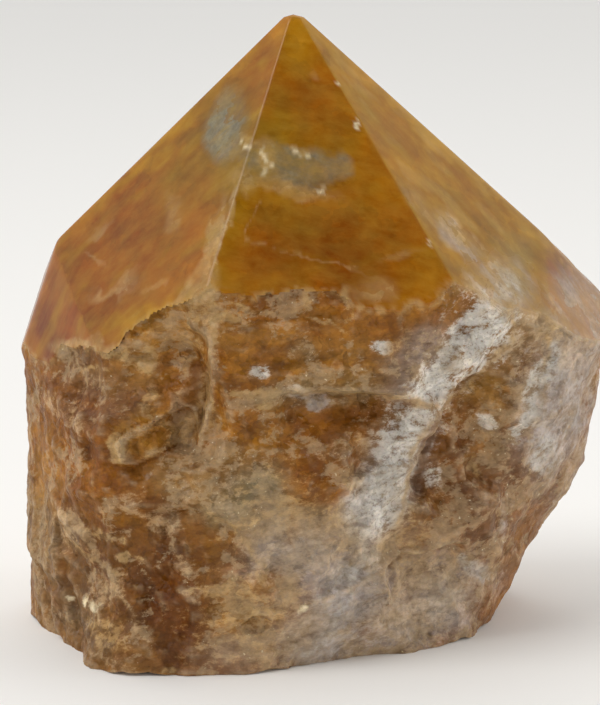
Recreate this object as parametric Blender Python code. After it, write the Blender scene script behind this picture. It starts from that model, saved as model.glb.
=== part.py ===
"""Orchid calcite point: one broken lump of calcite, its top ground into a six-sided polished point.

The lump is a closed ball whose surface is moved out to a many-walled blank and then roughened with
stepped cleavage, swells and hollows. The polished top and the sawn foot are then cut on it by a
form with flat faces, as a lapidary grinds them. The frame is +Z up, with the origin on the sawn
foot, straight below the tip, and the broad polished face towards -Y.
"""

import bmesh
import bpy
import numpy as np

MM = 0.001  # metres in a millimetre; every length below is in millimetres

# ---- driving dimensions ----
TIP_HEIGHT = 95.0  # the rounded tip above the sawn foot
TIP_ROUNDING = 1.1  # what rounding takes off the point where the faces would meet
HEART = np.array([0.0, 0.0, 40.0])  # middle of the lump, from which its surface is measured out
TIP = np.array([0.0, 0.0, TIP_HEIGHT + TIP_ROUNDING])

# Polished faces that meet at the tip: the way each faces, in degrees from -Y towards +X, and its slope.
POINT_FACES = {
    "back_left": (-120.0, 47.7),
    "left": (-43.8, 56.4),
    "front": (5.5, 60.1),
    "right": (50.4, 51.3),
    "back_right": (120.0, 45.1),
    "back": (178.0, 52.4),
}

# Steeper polished faces round the girdle: facing, slope, and a point that each goes through.
GIRDLE_FACES = {
    "girdle_left": (-56.1, 71.8, (-37.6, 2.0, 58.6)),
    "girdle_right": (58.8, 57.1, (40.6, 3.2, 59.0)),
    "girdle_back": (-150.0, 70.0, (-14.0, 27.0, 60.0)),
    "girdle_far_left": (-86.0, 71.0, (-39.7, 0.0, 50.5)),
}

# Broken walls: facing, reach from the origin at the foot, and how far each leans in as it rises.
WALLS = {
    "front": (-14.7, 33.6, 7.2),
    "front_middle": (5.0, 27.0, 3.4),
    "front_right": (29.5, 22.2, -6.6),
    "corner_right": (55.0, 27.5, -15.5),
    "under_right": (85.0, 30.3, -33.5),
    "right": (92.0, 50.3, 1.2),
    "back_right": (135.0, 36.5, -5.0),
    "back": (180.0, 32.0, 4.0),
    "back_left": (-135.0, 36.0, 3.0),
    "left": (-92.0, 40.7, -3.8),
    "front_left": (-60.0, 35.9, 0.0),
}
WALL_ROUNDING = 1.2  # how softly one wall turns into the next

# Calcite splits along three planes whose normals stand 44.6 degrees from its main axis.
MAIN_AXIS = (20.0, 40.0)  # facing and tip of that axis
CLEAVAGE_TO_AXIS = 44.6
CLEAVAGE_SPIN = 88.0

# Steps of cleavage: which of the three planes, spacing, height and the seed of its wandering.
STEPS = (
    (0, 8.0, 0.7, 40),
    (1, 9.0, 0.7, 50),
    (2, 8.0, 0.5, 60),
    (0, 3.2, 0.25, 70),
    (2, 3.0, 0.2, 90),
)
RISER = 0.14  # share of a step's spacing that its riser takes
STEP_WANDER = ((0.5, 2.2), (0.12, 0.8))  # how far the steps wander and over what length, in spacings
STEP_PATCH = 2.7  # width of the patches that have steps, in spacings
STEP_MIDDLE = 0.4  # share of a step's height that lies inside the blank

# Swells: width, height, seed.
SWELLS = ((19.0, 1.2, 21), (8.5, 0.3, 22))

# Shell-shaped scars of broken flakes, which meet along sharp crests: width, depth, seed.
SCOOPS = ((13.0, 2.4, 350), (5.0, 0.9, 360))
SCOOP_SHIFT = 0.45  # how far a bowl's middle strays, as a share of its width
SCOOP_TILT = 0.5
SCOOP_LEVEL = 0.2

# Blocks left by cleavage: size, height, seed.
BLOCKS = ((12.0, 0.75, 310),)
BLOCK_EDGE = 0.12  # width of the slope between two blocks, as a share of their size
BLOCK_SHIFT = 0.25  # how far a block's middle strays, as a share of its size

# Hollows broken into the front: across, up, half width, half height, tilt, depth, how much deeper
# they get to the right and how much upwards, and squareness. Below zero it is a block left proud.
HOLLOWS = {
    "left_hollow": (-17.3, 42.0, 4.6, 9.4, -10.0, 1.7, 1.0, 0.2, 4.0),
    "left_bay": (-22.0, 39.0, 11.5, 9.5, 14.0, 1.5, 0.9, 0.0, 4.0),
    "split_step": (-19.5, 35.0, 5.2, 2.4, 33.0, 1.3, 0.4, 0.5, 4.0),
    "under_ledge": (8.0, 36.4, 10.5, 5.4, -3.0, 1.6, 0.2, 1.0, 4.0),
    "behind_vein": (25.8, 32.0, 5.6, 10.5, -22.0, 2.2, -1.0, 0.2, 4.0),
    "low_notch": (-18.9, 9.0, 3.6, 6.4, 20.0, 0.7, 0.3, 0.7, 2.2),
    "small_pit": (-5.3, 7.2, 2.2, 1.6, 0.0, 0.8, 0.0, 0.6, 2.0),
    "lower_left": (-18.0, 19.0, 10.0, 6.0, 4.0, 1.0, 0.0, 0.4, 4.0),
    "lower_right": (20.0, 12.0, 6.5, 4.0, 10.0, 1.2, 0.0, 0.5, 4.0),
    "front_bench": (-2.0, 55.0, 12.0, 2.8, 3.0, 0.5, 0.0, 0.0, 4.0),
    "split_block": (-22.3, 34.4, 4.6, 2.5, 28.0, -1.1, -0.3, 0.3, 4.0),
    "left_bench": (-24.0, 46.5, 13.0, 7.5, 31.0, 2.8, 0.1, 0.4, 2.6),
    "left_swelling": (-38.5, 41.0, 4.5, 7.0, 10.0, -0.6, 0.0, 0.0, 2.6),
}
HOLLOW_SEED = 400
HOLLOW_RIM = (1.08, 0.82)  # where their side starts and ends, as shares of their half size
SOFT_HOLLOWS = ("low_notch", "left_bench", "left_swelling")  # these slope in gently,
SOFT_RIM = (1.2, 0.6)  # with sides as wide as this
RAGGED = (0.8, 3.5)  # how far their rim strays, and over what length

# Low ridges along lines seen from the front: the points of the line, half width and height.
RIBS = {
    "vein": (((29.6, 53.8), (27.6, 47.7), (21.8, 40.5), (16.3, 33.0), (12.7, 24.4)), 3.0, 0.9),
    "left_edge": (((-11.5, 55.0), (-12.0, 47.0), (-13.0, 40.0), (-16.5, 34.0), (-10.0, 25.0)), 1.8, 0.4),
}
RIB_RAGGED = (0.9, 3.5)
RIB_SEED = 440
RIB_FOOT = (1.2, 0.5)  # where a ridge's side starts and ends, as shares of its half width
SIDE_SHARE = 0.5  # how much of the broken relief is left on the sides, which are calmer
SIDE_DEPTH = (-4.0, -14.0)  # places along Y between which it grows to the whole

FRONT_HALF = 6.0  # they fade out this far behind the middle plane

# ---- how finely the solid is made ----
BALL_SUBDIVISIONS = 7
KEPT_SHARE = 0.14  # share of the ball's triangles that the thinning keeps
STOCK = 2.0  # what the grinding takes off the lump on each polished face
FAR = 90.0  # the lump's surface is no further than this from its heart, before it is ground
FORM_SIZE = 300.0
SLIVER = 0.02  # points nearer than this are one
SHARP_FROM = 40.0  # degrees between two faces whose edge shows as sharp
HASH_MASK = 0xFFFFFFFF  # the scatter is worked out in 32 bits


def outward(facing, tip):
    """Unit vector facing that many degrees from -Y towards +X, tipped up by that many degrees."""
    turn, rise = np.radians(facing), np.radians(tip)
    return np.array([np.sin(turn) * np.cos(rise), -np.cos(turn) * np.cos(rise), np.sin(rise)])


def polished_planes():
    """Normals and offsets of the polished faces: the six of the point, then those of the girdle."""
    faces = [(outward(facing, 90 - slope), TIP) for facing, slope in POINT_FACES.values()]
    faces += [(outward(facing, 90 - slope), np.array(at)) for facing, slope, at in GIRDLE_FACES.values()]
    normals = np.array([normal for normal, _ in faces])
    return normals, np.array([normal @ at for normal, at in faces])


def wall_planes():
    """Normals and offsets of the broken walls of the blank."""
    normals = np.array([outward(facing, lean) for facing, _, lean in WALLS.values()])
    feet = np.array([reach * outward(facing, 0) for facing, reach, _ in WALLS.values()])
    return normals, (normals * feet).sum(axis=1)


def cleavage_normals():
    """The three cleavage normals, evenly spaced round calcite's main axis."""
    axis = outward(*MAIN_AXIS)
    side = np.cross(axis, (0.0, 0.0, 1.0))
    side /= np.linalg.norm(side)
    up = np.cross(side, axis)
    apart = np.radians(CLEAVAGE_TO_AXIS)
    turns = np.radians(CLEAVAGE_SPIN + 120.0 * np.arange(3))
    return np.array(
        [axis * np.cos(apart) + (side * np.cos(turn) + up * np.sin(turn)) * np.sin(apart) for turn in turns]
    )


def smooth_step(low, high, value):
    """0 below low, 1 above high, and an S-curve between."""
    share = np.clip((value - low) / (high - low), 0.0, 1.0)
    return share * share * (3.0 - 2.0 * share)


def scatter(x, y, z, seed):
    """A whole number that looks random, the same each time, for each cell of a lattice."""
    mixed = ((x * 73856093) ^ (y * 19349663) ^ (z * 83492791) ^ (seed * 912931)) & HASH_MASK
    mixed = ((mixed ^ (mixed >> 15)) * 2246822519) & HASH_MASK
    mixed = ((mixed ^ (mixed >> 13)) * 3266489917) & HASH_MASK
    return mixed ^ (mixed >> 16)


def spread(mixed):
    """Three numbers from -1 to 1 out of each scattered whole number."""
    return np.stack([(mixed >> shift) & 1023 for shift in (0, 10, 20)], axis=-1) / 511.5 - 1


def noise(points, size, seed):
    """Gradient noise from about -1 to 1, whose lumps are about size across."""
    place = points / size + seed * 17.31
    cell = np.floor(place)
    part = place - cell
    cell = cell.astype(np.int64)
    ease = part**3 * (part * (part * 6 - 15) + 10)
    total = 0.0
    for corner in np.ndindex(2, 2, 2):
        slopes = spread(scatter(*np.moveaxis(cell + np.array(corner), -1, 0), seed))
        weight = np.where(corner, ease, 1 - ease).prod(axis=-1)
        total = total + (slopes * (part - corner)).sum(axis=-1) * weight
    return total * 1.4


def steps(points, normal, spacing, height, seed):
    """Steps along a cleavage normal: each tread climbs slowly and ends in a sharp riser.

    They wander a little, and are there in patches only.
    """
    place = points @ normal / spacing
    for more, (share, length) in enumerate(STEP_WANDER):
        place = place + share * noise(points, spacing * length, seed + more)
    part = place - np.floor(place)
    tread = smooth_step(0.0, 1 - RISER, part) * (1 - smooth_step(1 - RISER, 1.0, part))
    shown = smooth_step(0.0, 0.35, noise(points, spacing * STEP_PATCH, seed + 2))
    return height * shown * (tread - STEP_MIDDLE)


def blocks(points, size, height, seed):
    """Blocks of cleavage: skewed cells about size across, each with a flat face of its own height and tilt.

    Each point takes the face of the nearest block, and near a border it blends into the second nearest.
    """
    place = points @ cleavage_normals().T / size
    cell = np.floor(place).astype(np.int64)
    nearest, second = np.full(place.shape[:-1], 9.0), np.full(place.shape[:-1], 9.0)
    face, other = np.zeros(place.shape[:-1]), np.zeros(place.shape[:-1])
    for offset in np.ndindex(3, 3, 3):
        block = cell + np.array(offset) - 1
        shift = spread(scatter(*np.moveaxis(block, -1, 0), seed))
        lean = spread(scatter(*np.moveaxis(block, -1, 0), seed + 1))
        away = place - block - 0.5 - BLOCK_SHIFT * shift
        reach = np.abs(away).max(axis=-1)
        level = shift.sum(axis=-1) / 2 + (lean * away).sum(axis=-1)
        nearer = reach < nearest
        other = np.where(nearer, face, np.where(reach < second, level, other))
        second = np.where(nearer, nearest, np.minimum(reach, second))
        face = np.where(nearer, level, face)
        nearest = np.minimum(reach, nearest)
    share = 0.5 + 0.5 * smooth_step(0.0, BLOCK_EDGE, second - nearest)
    return height * (face * share + other * (1 - share))


def scoops(points, size, depth, seed):
    """Scars about size across: the lowest of the bowls round each point, each set and tilted its own way."""
    place = points / size + seed * 3.7
    cell = np.floor(place).astype(np.int64)
    lowest = np.full(place.shape[:-1], 9.0)
    for offset in np.ndindex(3, 3, 3):
        bowl = cell + np.array(offset) - 1
        shift = spread(scatter(*np.moveaxis(bowl, -1, 0), seed))
        lean = spread(scatter(*np.moveaxis(bowl, -1, 0), seed + 1))
        away = place - bowl - 0.5 - SCOOP_SHIFT * shift
        slope = (SCOOP_TILT * lean * away).sum(axis=-1)
        lowest = np.minimum(lowest, (away * away).sum(axis=-1) + slope + SCOOP_LEVEL * shift.sum(axis=-1))
    return depth * (lowest - 0.1)


def hollow_depth(points):
    """How deep the hollows are cut: each is a rounded box with a ragged rim."""
    total = 0.0
    stray, length = RAGGED
    for seed, name in enumerate(HOLLOWS, HOLLOW_SEED):
        x, z, half_width, half_height, tilt, depth, lean, climb, squareness = HOLLOWS[name]
        turn = np.radians(tilt)
        across = points[..., 0] - x + stray * noise(points, length, seed)
        up = points[..., 2] - z + stray * noise(points, length, seed + 100)
        along = (across * np.cos(turn) + up * np.sin(turn)) / half_width
        over = (up * np.cos(turn) - across * np.sin(turn)) / half_height
        from_middle = np.abs(along) ** squareness + np.abs(over) ** squareness
        rim = SOFT_RIM if name in SOFT_HOLLOWS else HOLLOW_RIM
        cut = smooth_step(*rim, from_middle ** (1 / squareness))
        slope = 1 + lean * np.clip(along, -1, 1) + climb * np.clip(over, -1, 1)
        total = total + depth * slope * cut
    return total


def rib_height(points):
    """How far the ridges stand out, from the distance to their lines seen from the front."""
    stray, length = RIB_RAGGED
    across = points[..., 0] + stray * noise(points, length, RIB_SEED)
    up = points[..., 2] + stray * noise(points, length, RIB_SEED + 1)
    total = 0.0
    for line, half_width, height in RIBS.values():
        nearest = np.full(across.shape, 1e3)
        for (x0, z0), (x1, z1) in zip(line[:-1], line[1:]):
            run, rise = x1 - x0, z1 - z0
            share = np.clip(((across - x0) * run + (up - z0) * rise) / (run**2 + rise**2), 0.0, 1.0)
            nearest = np.minimum(nearest, np.hypot(across - x0 - share * run, up - z0 - share * rise))
        foot, top = RIB_FOOT
        total = total + height * smooth_step(foot * half_width, top * half_width, nearest)
    return total


def relief(points):
    """How far the broken surface stands out from the blank."""
    total = (rib_height(points) - hollow_depth(points)) * smooth_step(FRONT_HALF, -FRONT_HALF, points[..., 1])
    for size, height, seed in SWELLS:
        total = total + height * noise(points, size, seed)
    broken = 0.0
    for size, height, seed in BLOCKS:
        broken = broken + blocks(points, size, height, seed)
    for size, depth, seed in SCOOPS:
        broken = broken + scoops(points, size, depth, seed)
    normals = cleavage_normals()
    for plane, spacing, height, seed in STEPS:
        broken = broken + steps(points, normals[plane], spacing, height, seed)
    return total + broken * (SIDE_SHARE + (1 - SIDE_SHARE) * smooth_step(*SIDE_DEPTH, points[..., 1]))


def soft_reach(directions, normals, offsets, rounding):
    """How far it is from the heart to a body with these planes, whose edges are rounded."""
    rate = directions @ normals.T
    reach = np.where(rate > 1e-4, (offsets - normals @ HEART) / np.maximum(rate, 1e-4), 1e4)
    nearest = reach.min(axis=-1)
    return nearest - rounding * np.log(np.exp((nearest[..., None] - reach) / rounding).sum(axis=-1))


def soft_normals(points, normals, offsets):
    """Outward normals of the blank at points on it, turning smoothly from wall to wall."""
    over = points @ normals.T - offsets
    weights = np.exp((over - over.max(axis=-1, keepdims=True)) / WALL_ROUNDING)
    mixed = weights @ normals
    return mixed / np.linalg.norm(mixed, axis=-1, keepdims=True)


def lump_surface(directions):
    """Points of the unpolished lump in these directions from its heart."""
    walls, wall_offsets = wall_planes()
    polished, polished_offsets = polished_planes()
    to_walls = soft_reach(directions, walls, wall_offsets, WALL_ROUNDING)
    blank = HEART + directions * np.minimum(to_walls, FAR)[..., None]
    broken = blank + soft_normals(blank, walls, wall_offsets) * relief(blank)[..., None]
    outward_line = broken - HEART
    distance = np.linalg.norm(outward_line, axis=-1)
    to_top = soft_reach(outward_line / distance[..., None], polished, polished_offsets + STOCK, WALL_ROUNDING)
    return HEART + outward_line * np.minimum(1.0, to_top / distance)[..., None]


def link(mesh_object, collection):
    """Put an object in a collection and return it."""
    collection.objects.link(mesh_object)
    return mesh_object


def make_lump(collection):
    """The broken lump: a ball whose points are moved out to the lump's surface."""
    mesh = bpy.data.meshes.new("orchid_calcite_point")
    ball = bmesh.new()
    bmesh.ops.create_icosphere(ball, subdivisions=BALL_SUBDIVISIONS, radius=1.0)
    directions = np.array([vert.co[:] for vert in ball.verts])
    directions /= np.linalg.norm(directions, axis=1, keepdims=True)
    for vert, place in zip(ball.verts, lump_surface(directions) * MM):
        vert.co = place
    ball.to_mesh(mesh)
    ball.free()
    return link(bpy.data.objects.new(mesh.name, mesh), collection)


def make_grinding_form(collection):
    """A block cut down to the polished faces, the worn tip and the sawn foot.

    What lies inside it is what stays of the lump.
    """
    normals, offsets = polished_planes()
    cuts = [(normal, normal * offset) for normal, offset in zip(normals, offsets)]
    cuts += [(np.array([0.0, 0.0, 1.0]), np.array([0.0, 0.0, TIP_HEIGHT]))]
    cuts += [(np.array([0.0, 0.0, -1.0]), np.zeros(3))]
    block = bmesh.new()
    bmesh.ops.create_cube(block, size=FORM_SIZE * MM)
    for normal, place in cuts:
        everything = block.verts[:] + block.edges[:] + block.faces[:]
        cut = bmesh.ops.bisect_plane(
            block, geom=everything, dist=1e-7, plane_co=place * MM, plane_no=normal, clear_outer=True
        )
        rim = [item for item in cut["geom_cut"] if isinstance(item, bmesh.types.BMEdge)]
        bmesh.ops.contextual_create(block, geom=rim)
    bmesh.ops.recalc_face_normals(block, faces=block.faces)
    mesh = bpy.data.meshes.new("grinding_form")
    block.to_mesh(mesh)
    block.free()
    form = link(bpy.data.objects.new(mesh.name, mesh), collection)
    form.hide_render = True
    form.display_type = "WIRE"
    return form


def calcite():
    """Honey calcite with orange and grey in it: waxy where broken, glossy where polished."""
    material = bpy.data.materials.new("orchid_calcite")
    material.use_nodes = True
    shader = material.node_tree.nodes["Principled BSDF"]
    shader.inputs["Base Color"].default_value = (0.23, 0.11, 0.03, 1.0)
    shader.inputs["Roughness"].default_value = 0.35
    shader.inputs["Metallic"].default_value = 0.0
    shader.inputs["IOR"].default_value = 1.6
    return material


def cut_and_thin(lump, form):
    """Thin the ball's triangles where the lump is smooth, then keep what lies inside the form."""
    thinning = lump.modifiers.new("Thin the smooth stretches", "DECIMATE")
    thinning.ratio = KEPT_SHARE
    grinding = lump.modifiers.new("Grind and saw", "BOOLEAN")
    grinding.operation = "INTERSECT"
    grinding.object = form
    tidying = lump.modifiers.new("Close up slivers", "WELD")
    tidying.merge_threshold = SLIVER * MM


def main():
    for old in list(bpy.data.objects):
        bpy.data.objects.remove(old)
    parts = bpy.data.collections.new("Orchid calcite")
    cutters = bpy.data.collections.new("Cutters")
    for collection in (parts, cutters):
        bpy.context.scene.collection.children.link(collection)
    lump = make_lump(parts)
    cut_and_thin(lump, make_grinding_form(cutters))
    lump.data.materials.append(calcite())
    lump.data.shade_smooth()
    lump.data.set_sharp_from_angle(angle=np.radians(SHARP_FROM))


main()
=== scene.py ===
"""Looks of the orchid calcite point, built round its fixed frame.

The stone is one piece: a lump of honey calcite, broken all round, sawn flat below and ground to a
polished point above. Its skin is one closed surface worked out from a formula, with the same walls,
polished faces, steps and hollows as the solid that it stands for, and with the finer relief that
the solid leaves out. Its colours are stains in the stone, with painted shade in its hollows and
painted glints and glow among them, held at the points of the mesh, over which the material lays
the fine grain. Lengths are in millimetres until a mesh is made of them.
"""

import logging
from dataclasses import dataclass, field
from enum import Enum

import bpy
import numpy as np
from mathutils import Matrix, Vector


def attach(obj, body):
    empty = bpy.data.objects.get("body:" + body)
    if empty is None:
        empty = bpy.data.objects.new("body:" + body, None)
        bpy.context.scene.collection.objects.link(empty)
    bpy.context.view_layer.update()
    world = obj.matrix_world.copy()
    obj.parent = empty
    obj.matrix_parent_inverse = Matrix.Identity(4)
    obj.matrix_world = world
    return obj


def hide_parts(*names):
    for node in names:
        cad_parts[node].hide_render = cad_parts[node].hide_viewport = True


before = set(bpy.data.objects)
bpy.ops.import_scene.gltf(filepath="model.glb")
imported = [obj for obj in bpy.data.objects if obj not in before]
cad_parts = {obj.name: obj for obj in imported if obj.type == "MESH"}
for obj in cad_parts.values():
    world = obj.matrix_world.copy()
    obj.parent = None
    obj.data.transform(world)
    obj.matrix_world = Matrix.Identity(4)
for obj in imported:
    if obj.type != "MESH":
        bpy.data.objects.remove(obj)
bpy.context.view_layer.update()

LOG = logging.getLogger("orchid_calcite")
NODE = "orchid_calcite_point"
MM = 0.001  # metres in a millimetre
LIGHT = 1.06  # how much of full light falls on the stone's front
GLOSS = 0.008  # how much light its gloss adds to every colour
DARKEST = 0.0015  # no stain is blacker than this
HASH_MASK = 0xFFFFFFFF  # the scatter is worked out in 32 bits
HASH_CELLS = (73856093, 19349663, 83492791, 912931)  # large primes for x, y, z and the seed
HASH_MIXERS = (2246822519, 3266489917)  # odd numbers that stir every bit
TEN_BITS = 1023
NOISE_GAIN = 1.4  # brings gradient noise up to about -1 to 1
SEED_STRIDE = 17.31  # how far apart the patterns of neighbouring seeds are cut, in lumps
UP_SEED = 100  # from the seed that makes a rim stray across to the one that makes it stray up
GRAZING = 1e-3  # a plane that turns away, or less than this towards a line, is never met by it
FAR_OFF = 1e4  # and is put this far off, in millimetres

Pair = tuple[float, float]
Triple = tuple[float, float, float]
Line = tuple[Pair, ...]  # corners of a line seen from the front, as x and z
Layers = tuple[tuple[float, float, int], ...]  # noise of several sizes: share, size and seed
Array = np.ndarray
Nodes = bpy.types.NodeTree
Socket = bpy.types.NodeSocket
Feed = Socket | float | tuple[float, ...]  # what an input takes
EASED = {"interpolation_type": "SMOOTHSTEP"}


class Stain(Enum):
    """Colours of the stone's stains, and of its painted shade, glints and glow, as sRGB hex."""

    AMBER = "#955b0c"  # deep clear honey under the front face
    GOLD = "#ab7318"  # yellower, thinner honey
    HONEY = "#956328"  # the ordinary body of the stone
    ORANGE = "#99611f"  # iron-stained, warm and lit through
    RUST = "#6f400f"  # strong iron stain
    BROWN = "#6e4720"  # dark brown: painted shade in the broken hollows, and a brown stain elsewhere
    TAN = "#9f7439"  # dusty tan
    KHAKI = "#8b6d3a"  # greenish tan
    CREAM = "#bb9b6a"  # pale bruised calcite, along edges and veils
    SAGE = "#83775b"  # grey-green speckled patches
    SLATE = "#7e7968"  # grey-green cloud under the polish
    LAVENDER = "#aea49c"  # cloudy lavender grey
    MAUVE = "#7d5a40"  # purple-brown
    DUST = "#bb9f79"  # pinkish-white dust in the breaks
    CHALK = "#d3cdc3"  # powdery white crust
    GLOW = "#c3954c"  # thin honey lit through, along the edges of the point
    GLINT = "#efe0bc"  # painted glints: tiny bright chips as they flash


(
    AMBER, GOLD, HONEY, ORANGE, RUST, BROWN, TAN, KHAKI, CREAM,
    SAGE, SLATE, LAVENDER, MAUVE, DUST, CHALK, GLOW, GLINT,
) = Stain


def linear(colour: str) -> Array:
    """Turn a colour from sRGB to linear light.

    Args:
        colour: sRGB hex, such as "#98662f".

    Returns:
        Red, green and blue from 0 to 1.
    """
    code = np.array([int(colour[place:place + 2], 16) for place in (1, 3, 5)]) / 255.0
    return np.where(code <= 0.04045, code / 12.92, ((code + 0.055) / 1.055) ** 2.4)


def pigment(stain: Stain) -> Array:
    """Give the colour that the stone must have to look like the stain: less its gloss, over its light."""
    return np.clip(linear(stain.value) - GLOSS, DARKEST, None) / LIGHT


def smooth_step(low: float, high: float, value: Array) -> Array:
    """Rise from 0 at low to 1 at high in an S-curve, and stay level outside."""
    share = np.clip((value - low) / (high - low), 0.0, 1.0)
    return share * share * (3.0 - 2.0 * share)


def outward(facing: float, tip: float) -> Array:
    """Give the unit vector that faces so many degrees from -Y towards +X, tipped up by so many."""
    turn, rise = np.radians(facing), np.radians(tip)
    return np.array([np.sin(turn) * np.cos(rise), -np.cos(turn) * np.cos(rise), np.sin(rise)])


def scatter(x: Array, y: Array, z: Array, seed: int) -> Array:
    """Give a whole number that looks random, the same each time, for each cell of a lattice.

    The cell's numbers are multiplied by large primes, joined bit by bit, and stirred.

    Args:
        x: the cells' whole numbers along X.
        y: the same along Y.
        z: the same along Z.
        seed: which pattern.

    Returns:
        Whole numbers of 32 bits.
    """
    of_x, of_y, of_z, of_seed = HASH_CELLS
    mixed = ((x * of_x) ^ (y * of_y) ^ (z * of_z) ^ (seed * of_seed)) & HASH_MASK
    for shift, mixer in zip((15, 13), HASH_MIXERS):
        mixed = ((mixed ^ (mixed >> shift)) * mixer) & HASH_MASK
    return mixed ^ (mixed >> 16)


def spread(mixed: Array) -> Array:
    """Make three numbers from -1 to 1 out of each scattered whole number, from ten of its bits each."""
    return np.stack([(mixed >> shift) & TEN_BITS for shift in (0, 10, 20)], axis=-1) / (TEN_BITS / 2) - 1


def noise(points: Array, size: float, seed: int) -> Array:
    """Gradient noise: each lattice corner has a random slope, and the eight slopes are eased together.

    Args:
        points: places, in millimetres, with x, y and z last.
        size: width of the lumps, in millimetres.
        seed: which pattern.

    Returns:
        A value from about -1 to 1 at each place.
    """
    place = points / size + seed * SEED_STRIDE
    cell = np.floor(place).astype(np.int64)
    part = place - cell
    ease = part**3 * (part * (part * 6 - 15) + 10)
    total = np.zeros(place.shape[:-1])
    for corner in np.ndindex(2, 2, 2):
        slopes = spread(scatter(*np.moveaxis(cell + np.array(corner), -1, 0), seed))
        weight = np.where(corner, ease, 1 - ease).prod(axis=-1)
        total += (slopes * (part - corner)).sum(axis=-1) * weight
    return total * NOISE_GAIN


def layered(points: Array, layers: Layers) -> Array:
    """Add up noise of several sizes, each given by its share, size and seed."""
    return sum(share * noise(points, size, seed) for share, size, seed in layers)


def combed(points: Array, tilt: float, stretch: float) -> Array:
    """Turn places in the x-z plane and squash them along one way, so that noise on them runs in streaks.

    Args:
        points: places, in millimetres.
        tilt: the way the streaks run, in degrees from +X towards +Z.
        stretch: how many times longer than wide they are.

    Returns:
        The places to give to noise.
    """
    turn = np.radians(tilt)
    along = (points[..., 0] * np.cos(turn) + points[..., 2] * np.sin(turn)) / stretch
    across = points[..., 2] * np.cos(turn) - points[..., 0] * np.sin(turn)
    return np.stack([along, points[..., 1], across], axis=-1)


@dataclass(frozen=True)
class Plane:
    """A flat face: the way it faces, how far it is tipped up, and a point that it goes through."""

    facing: float
    tip: float
    at: Triple

    def normal(self) -> Array:
        """Give the outward unit normal."""
        return outward(self.facing, self.tip)


@dataclass(frozen=True)
class Planes:
    """Normals and offsets of several flat faces, as arrays."""

    normals: Array
    offsets: Array

    @classmethod
    def of(cls, faces: list[Plane]) -> "Planes":
        """Gather the arrays from single faces."""
        normals = np.array([face.normal() for face in faces])
        return cls(normals, (normals * np.array([face.at for face in faces])).sum(axis=1))

    def reach(self, directions: Array, heart: Array, rounding: float) -> Array:
        """Measure from the heart to the body that these faces bound, with its edges rounded.

        The distance to each plane along a direction is its offset over the cosine, and the least
        of them is taken softly, as minus the log of the sum of their exponentials.

        Args:
            directions: unit vectors.
            heart: the place they start from.
            rounding: softness of the edges, in millimetres.

        Returns:
            The distance along each direction.
        """
        rate = directions @ self.normals.T
        room = self.offsets - self.normals @ heart
        away = np.where(rate > GRAZING, room / np.maximum(rate, GRAZING), FAR_OFF)
        nearest = away.min(axis=-1)
        return nearest - rounding * np.log(np.exp((nearest[..., None] - away) / rounding).sum(axis=-1))

    def soft_normals(self, points: Array, rounding: float) -> Array:
        """Blend the normals of the faces that each point lies near, and make them unit vectors.

        Each normal is weighed by the exponential of how far the point is past its face.

        Args:
            points: places, in millimetres.
            rounding: how gradually one face gives way to the next, in millimetres.

        Returns:
            A unit vector at each point.
        """
        over = points @ self.normals.T - self.offsets
        mixed = np.exp((over - over.max(axis=-1, keepdims=True)) / rounding) @ self.normals
        return mixed / np.linalg.norm(mixed, axis=-1, keepdims=True)

    def radius(self, facing: Array, height: Array) -> Array:
        """Give the body's radius round the upright axis: the least distance to a face at that level.

        Args:
            facing: in radians, from -Y towards +X.
            height: in millimetres.

        Returns:
            The radius at each facing and height.
        """
        level = np.stack([np.sin(facing), -np.cos(facing), np.zeros_like(facing)], axis=-1) @ self.normals.T
        room = self.offsets - height[..., None] * self.normals[:, 2]
        return np.where(level > GRAZING, room / np.maximum(level, GRAZING), FAR_OFF).min(axis=-1)


@dataclass(frozen=True)
class Swell:
    """Smooth lumps: width, height and seed."""

    size: float
    height: float
    seed: int

    def at(self, points: Array) -> Array:
        """Give the swell's height at each point."""
        return self.height * noise(points, self.size, self.seed)


@dataclass(frozen=True)
class Steps:
    """Steps of cleavage along one normal: each tread climbs slowly and ends in a sharp riser.

    The wander bends them: how far, and over what length, both in spacings. They show in patches.
    """

    plane: int  # which of the three normals
    spacing: float
    height: float
    seed: int
    riser: float = 0.14
    wander: tuple[Pair, ...] = ((0.5, 2.2), (0.12, 0.8))
    patch: float = 2.7
    patch_rim: Pair = (0.0, 0.35)
    level: float = 0.4  # how much of a step's height lies below the wall

    def at(self, points: Array, normals: Array) -> Array:
        """Give the steps' height: a saw tooth of the place along the normal, in patches only.

        Args:
            points: places, in millimetres.
            normals: the three cleavage normals.

        Returns:
            How far the surface stands out at each point.
        """
        place = points @ normals[self.plane] / self.spacing
        for more, (share, length) in enumerate(self.wander):
            place = place + share * noise(points, self.spacing * length, self.seed + more)
        part = place - np.floor(place)
        tread = smooth_step(0.0, 1 - self.riser, part) * (1 - smooth_step(1 - self.riser, 1.0, part))
        patches = noise(points, self.spacing * self.patch, self.seed + len(self.wander))
        return self.height * smooth_step(*self.patch_rim, patches) * (tread - self.level)


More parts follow.
